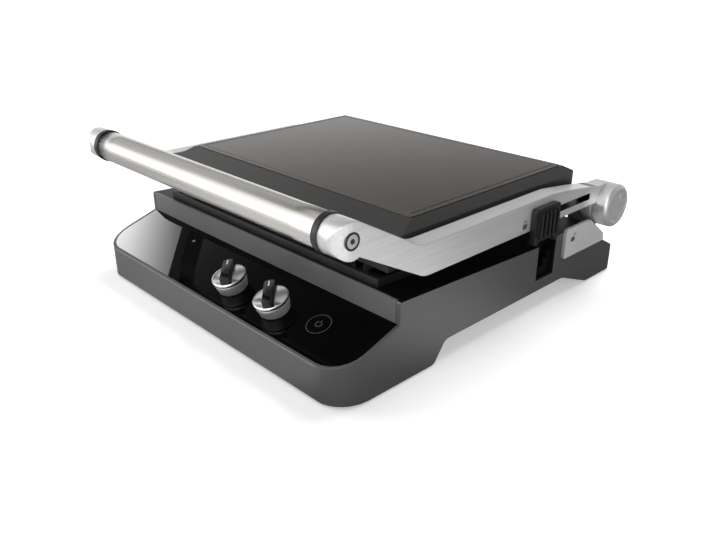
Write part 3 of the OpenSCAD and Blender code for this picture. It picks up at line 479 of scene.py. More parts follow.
def glazed_ceramic(colours, sizes):
    """Steatite block, pressed and fired: creamy white, dull, with faint speckle."""
    made = Finish(linear("#ddd8ca"), 0, 0.5)
    speckle = made.grain(1.5 * MM, 3.0)
    made.vary(speckle, 0.06)
    made.rough(speckle, 0.42, 0.6)
    made.relief(speckle, 0.1, 0.05 * MM, 0.3 * MM)
    return made


def lamp_lens(colours, sizes):
    """Clear polycarbonate light guide, moulded: pale and glossy, milky inside."""
    glow = {"Transmission_Weight": 0.25, "IOR": 1.58, "Subsurface_Weight": 0.1}
    made = Finish(linear("#a8a8a8"), 0, 0.12, **glow)
    milk = made.grain(1.2 * MM)
    made.vary(milk, 0.1)
    made.relief(milk, 0.05, 0.05 * MM, 0.2 * MM)
    return made


def printed_ink(colours, sizes):
    """Screen-printed ink: thin, flat and slightly chalky."""
    made = Finish(colours.marks, 0, 0.55)
    chalk = made.grain(0.9 * MM)
    made.vary(chalk, 0.06)
    made.rough(chalk, 0.48, 0.62)
    return made


def faint_ink(colours, sizes):
    """Grey ink printed behind the gloss of the button: low in contrast, under a smooth skin."""
    made = Finish(colours.faint, 0, 0.25)
    chalk = made.grain(0.9 * MM)
    made.vary(chalk, 0.08)
    made.rough(chalk, 0.2, 0.32)
    return made


def recess_shade_black(colours, sizes):
    """Matt near-black that paints the shade of the stop's recess onto the stop and its lining, with a
    dull dusty bloom.
    """
    made = Finish(linear("#050505"), 0, 0.6, Specular_IOR_Level=0.12)
    bloom = made.grain(4 * MM, 3.0)
    made.vary(bloom, 0.3)
    made.rough(bloom, 0.52, 0.7)
    made.relief(made.grain(0.8 * MM), 0.1, 0.03 * MM, 0.3 * MM)
    return made


def painted_sheen_abs(colours, sizes):
    """Black ABS from a brushed mould, painted a satin grey lighter than black as the broad soft light
    it catches.
    """
    made = Finish(linear("#222223"), 0.2, 0.34)
    lines = made.grain(0.9 * MM, 2.0, (1, 1, 8))
    made.vary(lines, 0.12)
    made.rough(lines, 0.3, 0.42)
    made.relief(lines, 0.08, 0.04 * MM, sizes.moulded_edge)
    return made


def piano_black(colours, sizes):
    """Black ABS from a polished mould: mirror-smooth, so it shows the dark of the room."""
    made = Finish(linear("#070708"), 0, 0.1)
    wave = made.grain(6 * MM, 1.0)
    made.vary(wave, 0.1)
    made.rough(wave, 0.08, 0.16)
    made.relief(wave, 0.04, 0.05 * MM, 0.3 * MM)
    return made


def satin_silver(colours, sizes):
    """ABS under silver metallic lacquer: a light, softly shining skin with a fine flake."""
    made = Finish(linear("#cfcfcf"), 0.6, 0.28)
    flake = made.grain(0.8 * MM, 3.0)
    made.vary(flake, 0.04)
    made.rough(flake, 0.26, 0.36)
    made.relief(flake, 0.05, 0.03 * MM, 0.3 * MM)
    return made


def zinc_sheet(colours, sizes):
    """Zinc-coated steel sheet, punched and lightly brushed: pale and satin, with upright lines."""
    made = Finish(linear("#d2d2d1"), 0.25, 0.36)
    lines = made.grain(1.0 * MM, 3.0, (1, 1, 25))
    made.vary(lines, 0.07)
    made.rough(lines, 0.3, 0.44)
    made.relief(lines, 0.08, 0.04 * MM, 0.6 * MM)
    return made


def satin_chrome(colours, sizes):
    """Chrome plating over a finely blasted dome: bright, but with every reflection softened."""
    made = Finish(colours.chrome, 1, 0.14)
    blast = made.grain(0.8 * MM)
    made.vary(made.grain(9 * MM), 0.04)
    made.rough(blast, 0.11, 0.18)
    made.relief(blast, 0.08, 0.03 * MM, 0.3 * MM)
    return made


def dark_ink(colours, sizes):
    """Screen-printed dark grey ink on the silver castings."""
    made = Finish(linear("#4b4b4d"), 0, 0.5)
    chalk = made.grain(0.9 * MM)
    made.vary(chalk, 0.1)
    made.rough(chalk, 0.45, 0.6)
    return made


# The finish of each material slot, and of the nodes that look different from their slot's rest.
FINISH_OF_SLOT = {
    "housing": moulded_abs,
    "black_plastic": black_abs,
    "gloss_black": printed_acrylic,
    "strip_grey": strip_lacquer,
    "rubber": moulded_rubber,
    "steel": turned_steel,
    "cast_arm": silver_lacquer,
    "brushed_tube": brushed_steel,
    "lid_dark": lid_lacquer,
    "lid_bronze": tinted_sheet,
    "plate_coat": non_stick,
    "heater_steel": sheathed_element,
    "tin_sheet": aluminised_sheet,
    "chrome": chrome_plate,
    "bronze_bush": sintered_bronze,
    "board": circuit_board,
    "ceramic_white": glazed_ceramic,
    "lamp_lens": lamp_lens,
}
FINISH_OF_NODE = {
    "side_plate_right": zinc_sheet,
    "side_plate_left": zinc_sheet,
    # The stop in the recess takes painted shade in near black.
    "slider_stop": recess_shade_black,
    "height_slider": painted_sheen_abs,
    "temp_knob_skirt": satin_silver,
    "timer_knob_skirt": satin_silver,
}
# Finishes of the pieces that are made here and not carried by the frame's nodes.
FINISHES_OF_PIECES = (printed_ink, faint_ink, dark_ink, satin_chrome, piano_black)


# ------------------------------------------------------------ mesh helpers


def keep(bm, name, material, body, place=None):
    """Puts a finished bmesh in its place and turns it into a piece that rides on a body."""
    if place is not None:
        bmesh.ops.transform(bm, matrix=place, verts=bm.verts)
        if place.is_negative:
            bmesh.ops.reverse_faces(bm, faces=bm.faces)
    mesh = bpy.data.meshes.new(name)
    bm.to_mesh(mesh)
    bm.free()
    mesh.materials.append(bpy.data.materials[material])
    made = bpy.data.objects.new(name, mesh)
    bpy.context.scene.collection.objects.link(made)
    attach(made, body)
    return made


def lathe(bm, profile, steps=96):
    """Turns a profile of radius and height about Z, with its poles closed."""
    points = [bm.verts.new((radius, 0, height)) for radius, height in profile]
    edges = [bm.edges.new(pair) for pair in zip(points, points[1:])]
    spin_about_z(bm, points + edges, 2 * math.pi, steps, True)
    bmesh.ops.remove_doubles(bm, verts=bm.verts, dist=1e-6)
    bmesh.ops.recalc_face_normals(bm, faces=bm.faces)
    for face in bm.faces:
        face.smooth = True


def spin_about_z(bm, geom, turn, steps, full):
    """Sweeps vertices, edges and faces about Z, and joins the two ends of a full turn."""
    bmesh.ops.spin(
        bm, geom=geom, cent=(0, 0, 0), axis=(0, 0, 1), angle=turn, steps=steps, use_merge=full
    )


def section(outer, outline):
    """An outline in millimetres, out from an outer radius and up, as radius and height in metres."""
    return [(outer + out * MM, up * MM) for out, up in outline]


def raise_faces(bm, faces, height):
    """Turns flat faces into a closed slab of a height along Z."""
    grown = bmesh.ops.extrude_face_region(bm, geom=faces, use_keep_orig=True)
    top = [part for part in grown["geom"] if isinstance(part, bmesh.types.BMVert)]
    bmesh.ops.translate(bm, verts=top, vec=(0, 0, height))
    bmesh.ops.recalc_face_normals(bm, faces=bm.faces)


def settle(bm, before, turn, middle):
    """Turns all but the vertices from before about Z, and moves them to a middle."""
    fresh = [vert for vert in bm.verts if vert not in before]
    bmesh.ops.rotate(bm, verts=fresh, cent=(0, 0, 0), matrix=Matrix.Rotation(turn, 3, "Z"))
    bmesh.ops.translate(bm, verts=fresh, vec=(*middle, 0))


def slab(bm, width, depth, height, middle=(0, 0), corner=0.0, turn=0.0):
    """A flat bar with rounded corners, standing on Z = 0."""
    before = set(bm.verts)
    made = bmesh.ops.create_grid(bm, x_segments=1, y_segments=1, size=0.5)["verts"]
    bmesh.ops.scale(bm, vec=(width, depth, 1), verts=made)
    if corner > 0:
        made = bmesh.ops.bevel(
            bm, geom=made, offset=corner, segments=4, profile=0.5, affect="VERTICES", material=-1
        )["verts"]
    raise_faces(bm, list({face for vert in made for face in vert.link_faces}), height)
    settle(bm, before, turn, middle)


def arc(bm, inner, outer, height, begin, end, middle=(0, 0), steps=24):
    """A flat ring segment from one angle to another, standing on Z = 0."""
    before = set(bm.verts)
    corners = ((inner, 0), (outer, 0), (outer, height), (inner, height))
    points = [bm.verts.new((radius, 0, level)) for radius, level in corners]
    full = end - begin > 2 * math.pi - 1e-4
    if full:
        geom = [bm.edges.new((points[i], points[i - 1])) for i in range(4)]
    else:
        face = bm.faces.new(points)
        geom = [face, *face.edges]
    spin_about_z(bm, points + geom, end - begin, steps, full)
    settle(bm, before, begin, middle)
    bmesh.ops.recalc_face_normals(bm, faces=bm.faces)


def padlock(bm, size, height, opened=False):
    """A generic padlock, drawn flat: a body with a shackle over it, turned aside where it is open."""
    slab(bm, 0.78 * size, 0.52 * size, height, (0, -0.24 * size), 0.06 * size)
    side = 0.36 * size if opened else 0.0
    top = 0.2 * size
    arc(bm, 0.17 * size, 0.27 * size, height, 0, math.pi, (side, top))
    for leg in (-0.22 * size, 0.22 * size):
        foot = 0.1 * size if opened and leg > 0 else -0.02 * size
        slab(bm, 0.1 * size, top - foot, height, (side + leg, 0.5 * (top + foot)))


def panel_place(across, along, lift):
    """The place on the sloping panel: across it, up it, and above its face."""
    sill = Matrix.Translation((0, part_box("base_housing")[0].y, PANEL_SILL))
    return sill @ Matrix.Rotation(PANEL_SLOPE, 4, "X") @ Matrix.Translation((across, along, lift))


def side_place(x, y, z):
    """A place on a face that looks right: the piece's Y stands up and its Z looks out."""
    return Matrix(((0, 0, 1, x), (1, 0, 0, y), (0, 1, 0, z), (0, 0, 0, 1)))


def heads(node):
    """The middles of a node's separate screw heads, which are its lowest faces."""
    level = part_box(node)[0].z
    widest = 9 * MM
    groups = []
    for vert in NODES[node].data.vertices:
        if abs(vert.co.z - level) > 0.05 * MM:
            continue
        near = [group for group in groups if (group[0] - vert.co).length < widest]
        if near:
            near[0].append(vert.co.copy())
        else:
            groups.append([vert.co.copy()])
    return [sum(group, Vector()) / len(group) for group in groups]


def modify(obj, name, kind, **settings):
    """Gives an object a modifier with its settings."""
    made = obj.modifiers.new(name, kind)
    for key, value in settings.items():
        setattr(made, key, value)


# ------------------------------------------------------------ operators


class GRILL_OT_finishes(bpy.types.Operator):
    """Makes every finish and gives each part of the frame its own"""

    bl_idname = "grill.finishes"
    bl_label = "Finishes"

    def execute(self, context):
        scene = context.scene
        made = {}
        for finish in (*FINISH_OF_SLOT.values(), *FINISH_OF_NODE.values(), *FINISHES_OF_PIECES):
            if finish not in made:
                made[finish] = finish(scene.grill_colours, scene.grill_sizes).material
                made[finish].name = finish.__name__
        skin = self.smooth_skin()
        for name, obj in NODES.items():
            if not self.round_edges(name, obj, scene.grill_sizes):
                modify(obj, "skin", "NODES", node_group=skin)
                modify(obj, "normals", "WEIGHTED_NORMAL", keep_sharp=True)
            obj.data.materials.clear()
            obj.data.materials.append(made[FINISH_OF_NODE.get(name, FINISH_OF_SLOT[SLOT_OF[name]])])
        return {"FINISHED"}

    def round_edges(self, name, obj, sizes):
        """Rounds the long edges of the arms and the lid, and says whether it did."""
        widths = {
            "arm_right": sizes.cast_edge,
            "arm_left": sizes.cast_edge,
            "lid_shell": sizes.lid_edge,
            "lid_top_panel": 0.4 * sizes.lid_edge,
        }
        if name not in widths:
            return False
        modify(obj, "weld", "WELD", merge_threshold=SAME_PLACE)
        modify(obj, "flat", "DECIMATE", decimate_type="DISSOLVE", angle_limit=math.radians(0.5))
        sharp = {"limit_method": "ANGLE", "angle_limit": math.radians(28)}
        shape = {"width": widths[name], "segments": 3, "use_clamp_overlap": True}
        modify(obj, "round", "BEVEL", harden_normals=True, **shape, **sharp)
        return True

    def smooth_skin(self):
        """Nodes for a modifier that joins loose triangles and shades all but sharp edges smooth."""
        tree = bpy.data.node_groups.new("smooth_skin", "GeometryNodeTree")
        tree.is_modifier = True
        for way in ("INPUT", "OUTPUT"):
            tree.interface.new_socket("Geometry", in_out=way, socket_type="NodeSocketGeometry")
        loose = add(tree, "NodeGroupInput")
        merge = {"Geometry": loose, "Distance": SAME_PLACE}
        joined = add(tree, "GeometryNodeMergeByDistance", merge)
        bend = add(tree, "GeometryNodeInputMeshEdgeAngle").outputs["Unsigned Angle"]
        limit = {0: bend, 1: math.radians(32)}
        gentle = add(tree, "FunctionNodeCompare", limit, operation="LESS_THAN")
        shade = {"Geometry": joined, "Shade Smooth": gentle}
        edges = add(tree, "GeometryNodeSetShadeSmooth", shade, domain="EDGE")
        shade = {"Geometry": edges, "Shade Smooth": True}
        faces = add(tree, "GeometryNodeSetShadeSmooth", shade, domain="FACE")
        add(tree, "NodeGroupOutput", {0: faces})
        return tree


class GRILL_OT_knobs(bpy.types.Operator):
    """Makes the domed knob faces with their black grips and pointer lines"""

    bl_idname = "grill.knobs"
    bl_label = "Knobs"

    def execute(self, context):
        sizes = context.scene.grill_sizes
        r = sizes.knob_radius
        for name, (across, body) in KNOBS.items():
            place = panel_place(across, KNOB_UP, KNOB_SKIRT_TOP)
            turned = place @ Matrix.Rotation(sizes.grip_turn, 4, "Z")
            bm = bmesh.new()
            self.drum(bm, r, sizes.knob_dome)
            drum = keep(bm, name + "_knob_face", "satin_chrome", body, place)
            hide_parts(name + "_knob_cap")
            bm = bmesh.new()
            self.grip(bm, r, sizes.grip_width)
            keep(bm, name + "_knob_grip", "piano_black", body, turned)
            bm = bmesh.new()
            slab(bm, 1.1 * MM, 6 * MM, sizes.mark_lift, (0, 0.6 * r), 0.3 * MM)
            on_grip = turned @ Matrix.Translation((0, 0, GRIP_TOP + 0.01 * MM))
            keep(bm, name + "_knob_pointer", "printed_ink", body, on_grip)
        return {"FINISHED"}

    def drum(self, bm, r, dome, steps=8):
        """A short drum with a rounded rim and a low dome."""
        rim = section(r, KNOB_RIM)
        edge, shoulder = rim[-1]
        profile = [(0, rim[0][1]), *rim]
        for left in [1 - step / steps for step in range(1, steps + 1)]:
            profile.append((edge * left, shoulder + dome * (1 - left**2)))
        lathe(bm, profile)

    def grip(self, bm, r, width):
        """A bar across the face, with leaning sides and rounded edges."""
        round_bar = {"segments": 96, "radius1": r - 0.7 * MM, "radius2": r - 1.4 * MM}
        bmesh.ops.create_cone(bm, cap_ends=True, depth=GRIP_TOP - GRIP_FOOT, **round_bar)
        bmesh.ops.translate(bm, verts=bm.verts, vec=(0, 0, 0.5 * (GRIP_TOP + GRIP_FOOT)))
        for side in (-1, 1):
            cut = bmesh.ops.bisect_plane(
                bm,
                geom=bm.verts[:] + bm.edges[:] + bm.faces[:],
                plane_co=(side * 0.5 * width, 0, GRIP_FOOT),
                plane_no=(side, 0, 0.08),
                clear_outer=True,
            )
            rim = [part for part in cut["geom_cut"] if isinstance(part, bmesh.types.BMEdge)]
            bmesh.ops.contextual_create(bm, geom=rim)
        bmesh.ops.recalc_face_normals(bm, faces=bm.faces)
        bend = math.radians(40)
        sharp = [e for e in bm.edges if len(e.link_faces) == 2 and e.calc_face_angle() > bend]
        bmesh.ops.bevel(
            bm,
            geom=sharp,
            offset=0.7 * MM,
            segments=3,
            profile=0.5,
            affect="EDGES",
            material=-1,
            clamp_overlap=True,
        )
        for face in bm.faces:
            face.smooth = True


class GRILL_OT_sleeve(bpy.types.Operator):
    """Makes the handle's round steel sleeve, smooth all the way round"""

    bl_idname = "grill.sleeve"
    bl_label = "Handle sleeve"

    def execute(self, context):
        low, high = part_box("handle_tube")
        r = 0.5 * (high.z - low.z)
        bore = r - 1.2 * MM
        turn = 0.25 * MM
        bm = bmesh.new()
        profile = [(bore, low.x), (r - turn, low.x), (r, low.x + turn)]
        profile += [(r, low.x + (high.x - low.x) * step / 12) for step in range(1, 12)]
        profile += [(r, high.x - turn), (r - turn, high.x), (bore, high.x), (bore, low.x)]
        lathe(bm, profile, 128)
        for edge in bm.edges:
            edge.smooth = len(edge.link_faces) == 2 and edge.calc_face_angle() < math.radians(50)
        middle = Matrix.Translation((0, 0.5 * (low.y + high.y), 0.5 * (low.z + high.z)))
        across = middle @ Matrix.Rotation(0.5 * math.pi, 4, "Y")
        made = keep(bm, "handle_sleeve", "brushed_steel", "arms", across)
        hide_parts("handle_tube")
        return {"FINISHED"}


class GRILL_OT_marks(bpy.types.Operator):
    """Prints the lock marks and the button's power mark"""

    bl_idname = "grill.marks"
    bl_label = "Printed marks"

    def execute(self, context):
        sizes = context.scene.grill_sizes
        lift = sizes.mark_lift
        bm = bmesh.new()
        padlock(bm, sizes.lock_mark, lift)
        place = side_place(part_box("arm_right")[1].x, *LOCK_ON_ARM)
        keep(bm, "arm_lock_mark", "dark_ink", "arms", place)
        bm = bmesh.new()
        padlock(bm, sizes.lock_mark, lift, opened=True)
        place = side_place(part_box("side_plate_right")[1].x, *LOCK_ON_PLATE)
        keep(bm, "plate_lock_mark", "dark_ink", "base", place)
        bm = bmesh.new()
        # A ring that is open at its top, a bar in the opening, and a thin ring at the button's rim.
        arc(bm, 2.3 * MM, 3.1 * MM, lift, math.radians(128), math.radians(412))
        slab(bm, 0.8 * MM, 2.6 * MM, lift, (0, 2.7 * MM), 0.2 * MM)
        rim = sizes.button_radius - 0.2 * MM
        arc(bm, rim - 0.55 * MM, rim, lift, 0, 2 * math.pi, steps=96)
        place = panel_place(*BUTTON_PLACE, BUTTON_FACE)
        keep(bm, "power_mark", "faint_ink", "button", place)
        return {"FINISHED"}


class GRILL_OT_elbow_rings(bpy.types.Operator):
    """Makes the dark rings of the covers at the handle's ends, and black hexagons painted as the shade
    of their hex sockets
    """

    bl_idname = "grill.elbow_rings"
    bl_label = "Elbow rings"

    def execute(self, context):
        outer = context.scene.grill_sizes.cover_ring
        low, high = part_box("end_covers")
        right = side_place(high.x, 0.5 * (low.y + high.y), 0.5 * (low.z + high.z))
        mirror = Matrix.Scale(-1, 4, (1, 0, 0))
        for name, place in (("right", right), ("left", mirror @ right)):
            bm = bmesh.new()
            lathe(bm, section(outer, ELBOW_RING))
            keep(bm, "elbow_ring_" + name, "black_abs", "arms", place)
            # Painted shade: a thin black hexagon stands for the hex socket's hollow.
            bm = bmesh.new()
            bmesh.ops.create_circle(bm, cap_ends=True, segments=6, radius=2.1 * MM)
            raise_faces(bm, bm.faces[:], 0.12 * MM)
            keep(bm, "elbow_socket_shade_" + name, "black_abs", "arms", place)
        return {"FINISHED"}


class GRILL_OT_recess(bpy.types.Operator):
    """Lines the stop's recess in the right wall with black sheets that paint its shade"""

    bl_idname = "grill.recess"
    bl_label = "Recess lining"

    def execute(self, context):
        low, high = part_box("slider_stop")
        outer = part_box("base_housing")[1].x
        # The lining fills most of the gap between the stop and its recess.
        gap = 0.1 * MM
        skin = 0.09 * MM
        front = low.y - gap
        rear = high.y + gap
        foot = low.z - gap
        walls = (
            ((low.x, front, low.z), (outer, front + skin, high.z)),
            ((low.x, rear - skin, low.z), (outer, rear, high.z)),
            ((low.x, low.y, foot), (outer, high.y, foot + skin)),
        )
        bm = bmesh.new()
        for a, b in walls:
            made = bmesh.ops.create_cube(bm, size=1)["verts"]
            bmesh.ops.scale(bm, vec=[q - p for p, q in zip(a, b)], verts=made)
            bmesh.ops.translate(bm, vec=[0.5 * (p + q) for p, q in zip(a, b)], verts=made)
        # Painted shade: thin near-black sheets on the recess's front, rear and floor.
        keep(bm, "recess_shade_lining", "recess_shade_black", "base")
        return {"FINISHED"}


class GRILL_OT_corner_sills(bpy.types.Operator):
    """Makes the sills that close the wall's foot at the two round front corners"""

    bl_idname = "grill.corner_sills"
    bl_label = "Corner sills"

    def execute(self, context):
        low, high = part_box("base_housing")
        # The corners' radius, and the sills' two, just inside the wall's face.
        bend = 28.0 * MM
        inner = 25.2 * MM
        outer = bend - 0.02 * MM
        foot = 2.0 * MM
        sill = 2.0 * MM
        reach = math.radians(20.4)
        bm = bmesh.new()
        for side in (-1, 1):
            way = math.radians(-90 + 45 * side)
            middle = (side * (high.x - bend), low.y + bend)
            arc(bm, inner, outer, sill, way - reach, way + reach, middle, steps=12)
        place = Matrix.Translation((0, 0, foot))
        keep(bm, "corner_sills", "moulded_abs", "base", place)
        return {"FINISHED"}


class GRILL_OT_crosses(bpy.types.Operator):
    """Paints black crosses on the screw heads as the shade of their cross recesses"""

    bl_idname = "grill.crosses"
    bl_label = "Screw recesses"

    def execute(self, context):
        askew = 0.3
        sunk = Matrix.Translation((0, 0, -0.05 * MM))
        for node, body in (("lid_screws", "lid"), ("cover_screws", "base")):
            bm = bmesh.new()
            for middle in heads(node):
                before = set(bm.verts)
                for turn in (askew, askew + 0.5 * math.pi):
                    slab(bm, 0.8 * MM, 3.4 * MM, 0.06 * MM, middle.xy, 0.2 * MM, turn)
                fresh = [vert for vert in bm.verts if vert not in before]
                bmesh.ops.translate(bm, verts=fresh, vec=(0, 0, middle.z))
            # Painted shade: the crosses are thin black slabs, not cut recesses.
            keep(bm, node + "_crosses", "black_abs", body, sunk)
        return {"FINISHED"}


# ------------------------------------------------------------ studio

# Tones that polished parts mirror, as pairs of a place from 0 to 1 and a grey level. A heading
# goes once round the object: 0.25 is its left, 0.5 its front and 0.75 its right. A height is 0
# at the horizon and 1 overhead.
WALL_BY_HEIGHT = (
    (0.0, 1.6), (0.21, 1.5), (0.235, 1.0), (0.26, 0.38), (0.3, 0.28), (0.36, 0.3), (0.44, 0.65),
    (0.58, 0.8), (0.64, 0.35), (0.75, 0.15), (0.86, 0.5), (1.0, 0.8),
)
WALL_BY_HEADING = (
    (0.0, 0.65), (0.09, 0.62), (0.16, 0.86), (0.22, 1.0), (0.59, 1.0), (0.61, 1.3), (0.66, 1.0),
    (0.7, 0.1), (0.75, 0.08), (0.77, 0.4), (0.95, 0.4), (1.0, 0.65),
)
# A bright card that stands before the wall, from the left round past the front.
CARD_BY_HEIGHT = ((0.0, 2.6), (0.1, 2.6), (0.3, 2.1), (0.5, 1.9), (0.8, 1.0), (0.95, 0.4))
CARD_BY_HEADING = (
    (0.0, 0.0), (0.28, 0.0), (0.311, 0.85), (0.339, 0.82), (0.364, 1.2), (0.42, 1.4), (0.595, 1.6),
    (0.605, 0.0), (1.0, 0.0),
)
FLOOR_BY_HEADING = (
    (0.0, 0.6), (0.25, 0.6), (0.31, 0.33), (0.34, 0.4), (0.37, 0.46), (0.42, 0.75), (0.58, 0.75),
    (0.6, 0.2), (0.67, 0.2), (0.72, 1.0), (0.755, 0.85), (0.81, 0.2), (0.88, 0.08), (1.0, 0.4),
)
# The floor is brighter to the front right, from where this span ends, in metres.
FAR_FLOOR = (0.3, 0.42)
FAR_FLOOR_BY_HEADING = ((0.0, 0.0), (0.57, 0.0), (0.6, 0.9), (0.68, 0.9), (0.71, 0.0), (1.0, 0.0))
# The floor's own grey; where its glow begins to rise, as seen and as mirrored, and where that
# ends, in metres; how much more it glows in mirrors; and how far it reaches each way.
FLOOR_GREY = 0.8
GLOW_BEGINS = 0.4
MIRRORED_GLOW_BEGINS = 0.6
GLOW_ENDS = 2.5
MIRRORED_GLOW = 0.9
FLOOR_REACH = 6
# The narrow box that the panel's left end mirrors: a place on its edge, its two directions, its
# size, its shift along itself, and its levels from that edge across.
BOX_EDGE = Vector((-0.6053, -0.0353, 0.3808))
BOX_ALONG = Vector((0.733, -0.676, 0.0724))
BOX_ACROSS = Vector((-0.6, -0.73, -0.33))
BOX_WIDTH = 0.17
BOX_LENGTH = 0.5
BOX_SHIFT = 0.08
BOX_LEVELS = (
    (0.0, 0.11), (0.085, 0.165), (0.245, 0.33), (0.35, 0.45), (0.56, 0.72), (0.72, 0.85),
    (1.0, 0.95),
)


def heading(tree, way):
    """The turn of a direction about the vertical, from 0 at the back round by the left to 1."""
    part = add(tree, "ShaderNodeSeparateXYZ", {0: way}).outputs
    front = add(tree, "ShaderNodeMath", {0: part[1], 1: -1.0}, operation="MULTIPLY")
    turn = add(tree, "ShaderNodeMath", {0: part[0], 1: front}, operation="ARCTAN2")
    whole = {"Value": turn, "From Min": -math.pi, "From Max": math.pi}
    return add(tree, "ShaderNodeMapRange", whole)


def levels(tree, value, stops):
    """Grey levels at places between 0 and 1."""
    made = add(tree, "ShaderNodeValToRGB", {0: value})
    elements = made.color_ramp.elements
    for element, (place, level) in zip(elements, (stops[0], stops[-1])):
        element.position = place
        element.color = (level, level, level, 1)
    for place, level in stops[1:-1]:
        elements.new(place).color = (level, level, level, 1)
    return made


def any_of(tree, path, *rays):
    """1 for a ray of one of the kinds named, and 0 for any other."""
    found = 0.0
    for kind in rays:
        both = {0: found, 1: path[kind]}
        found = add(tree, "ShaderNodeMath", both, operation="MAXIMUM")
    return found


class GRILL_OT_studio(bpy.types.Operator):
    """Makes the camera, the floor and the lamps"""

    bl_idname = "grill.studio"
    bl_label = "Studio"

    def execute(self, context):
        scene = context.scene
        studio = scene.grill_studio
        lens = bpy.data.cameras.new("camera")
        lens.lens = studio.lens
        camera = bpy.data.objects.new("camera", lens)
        camera.location = studio.camera_place
        camera.rotation_euler = (studio.camera_tilt, 0, studio.camera_turn)
        scene.collection.objects.link(camera)
        scene.camera = camera
        self.floor(scene, studio)
        self.sky(scene, studio)
        lamps = (
            ("key_lamp", (-1.5, -0.7, 0.95), 1.5, studio.key_light),
            ("fill_lamp", (1.0, -0.35, 0.45), 0.6, studio.fill_light),
            ("top_lamp", (0.1, 1.0, 1.35), 1.0, studio.top_light),
        )
        for name, place, size, power in lamps:
            self.lamp(scene, name, Vector(place), size, power)
        self.side_box(scene, studio)
        scene.view_settings.view_transform = "Standard"
        return {"FINISHED"}

    def lamp(self, scene, name, place, size, power):
        """A soft lamp that faces the middle of the grill and isn't mirrored in it."""
        lamp = bpy.data.lights.new(name, "AREA")
        lamp.size = size
        lamp.energy = power
        made = bpy.data.objects.new(name, lamp)
        made.location = place
        made.visible_glossy = False
        scene.collection.objects.link(made)
        away = Vector((0, 0, 0.06)) - place
        made.rotation_euler = away.to_track_quat("-Z", "Y").to_euler()

    def side_box(self, scene, studio):
        """A narrow graded box that only the control panel mirrors, at its left end."""
        along = BOX_ALONG.normalized()
        across = (BOX_ACROSS - BOX_ACROSS.dot(along) * along).normalized()
        out = across.cross(along).normalized()
        side = out.cross(across).normalized()
        lamp = bpy.data.lights.new("side_box", "AREA")
        lamp.shape = "RECTANGLE"
        lamp.size = BOX_WIDTH
        lamp.size_y = BOX_LENGTH
        lamp.energy = studio.side_box * math.pi * BOX_WIDTH * BOX_LENGTH
        lamp.use_nodes = True
        tree = lamp.node_tree
        spot = add(tree, "ShaderNodeNewGeometry").outputs["Position"]
        from_edge = add(tree, "ShaderNodeVectorMath", {0: spot, 1: BOX_EDGE}, operation="SUBTRACT")
        both = {0: from_edge, 1: across}
        reach = add(tree, "ShaderNodeVectorMath", both, operation="DOT_PRODUCT").outputs["Value"]
        width = {"Value": reach, "From Min": 0.0, "From Max": BOX_WIDTH}
        part = add(tree, "ShaderNodeMapRange", width)
        join(tree, levels(tree, part, BOX_LEVELS), tree.nodes["Emission"].inputs["Strength"])
        made = bpy.data.objects.new("side_box", lamp)
        turn = Matrix((across, side, out)).transposed().to_4x4()
        middle = BOX_EDGE + 0.5 * BOX_WIDTH * across + BOX_SHIFT * along
        made.matrix_world = Matrix.Translation(middle) @ turn
        scene.collection.objects.link(made)
        made.visible_camera = False
        made.visible_diffuse = False
        seen_by = bpy.data.collections.new("mirrors_side_box")
        seen_by.objects.link(NODES["control_panel"])
        made.light_linking.receiver_collection = seen_by

    def floor(self, scene, studio):
        """A pale floor that reads white away from the object's shadow."""
        bm = bmesh.new()
        bmesh.ops.create_grid(bm, x_segments=1, y_segments=1, size=FLOOR_REACH)
        mesh = bpy.data.meshes.new("floor")
        bm.to_mesh(mesh)
        bm.free()
        made = bpy.data.objects.new("floor", mesh)
        scene.collection.objects.link(made)
        card = self.floor_card(studio).material
        card.name = "floor_card"
        mesh.materials.append(card)

    def floor_card(self, studio):
        """Painted card, matt and pale; polished parts mirror it darker or brighter by its heading."""
        made = Finish([FLOOR_GREY] * 3, 0, 0.9, Specular_IOR_Level=0.1)
        made.shader.inputs["Emission Color"].default_value = (1, 1, 1, 1)
        tree = made.tree
        path = add(tree, "ShaderNodeLightPath").outputs
        mirrored = path["Is Glossy Ray"]
        seen = any_of(tree, path, "Is Camera Ray", "Is Glossy Ray", "Is Transmission Ray")
        turn = heading(tree, made.place)
        far = add(tree, "ShaderNodeVectorMath", {0: made.place}, operation="LENGTH").outputs["Value"]
        span = {"Value": far, "From Min": FAR_FLOOR[0], "From Max": FAR_FLOOR[1]}
        past = add(tree, "ShaderNodeMapRange", span)
        near_level = levels(tree, turn, FLOOR_BY_HEADING)
        sum_of = {0: levels(tree, turn, FAR_FLOOR_BY_HEADING), 1: past, 2: near_level}
        card = add(tree, "ShaderNodeMath", sum_of, operation="MULTIPLY_ADD")
        tone = add(tree, "ShaderNodeMix", {0: mirrored, NUMBER_A: 1.0, NUMBER_B: card})
        pale = add(tree, "ShaderNodeMath", {0: tone, 1: FLOOR_GREY}, operation="MULTIPLY")
        made.feed("Base Color", pale)
        span = {"Value": far, "From Min": GLOW_BEGINS, "From Max": GLOW_ENDS}
        span |= {"To Min": studio.floor_glow, "To Max": 1.0}
        level = add(tree, "ShaderNodeMapRange", span)
        span = {"Value": far, "From Min": MIRRORED_GLOW_BEGINS, "From Max": GLOW_ENDS}
        span |= {"To Min": 0.0, "To Max": MIRRORED_GLOW}
        away = add(tree, "ShaderNodeMapRange", span)
        sum_of = {0: mirrored, 1: away, 2: level}
        rise = add(tree, "ShaderNodeMath", sum_of, operation="MULTIPLY_ADD")
        glow = add(tree, "ShaderNodeMath", {0: tone, 1: rise}, operation="MULTIPLY")
        lift = add(tree, "ShaderNodeMath", {0: seen, 1: glow}, operation="MULTIPLY")
        made.feed("Emission Strength", lift)
        return made

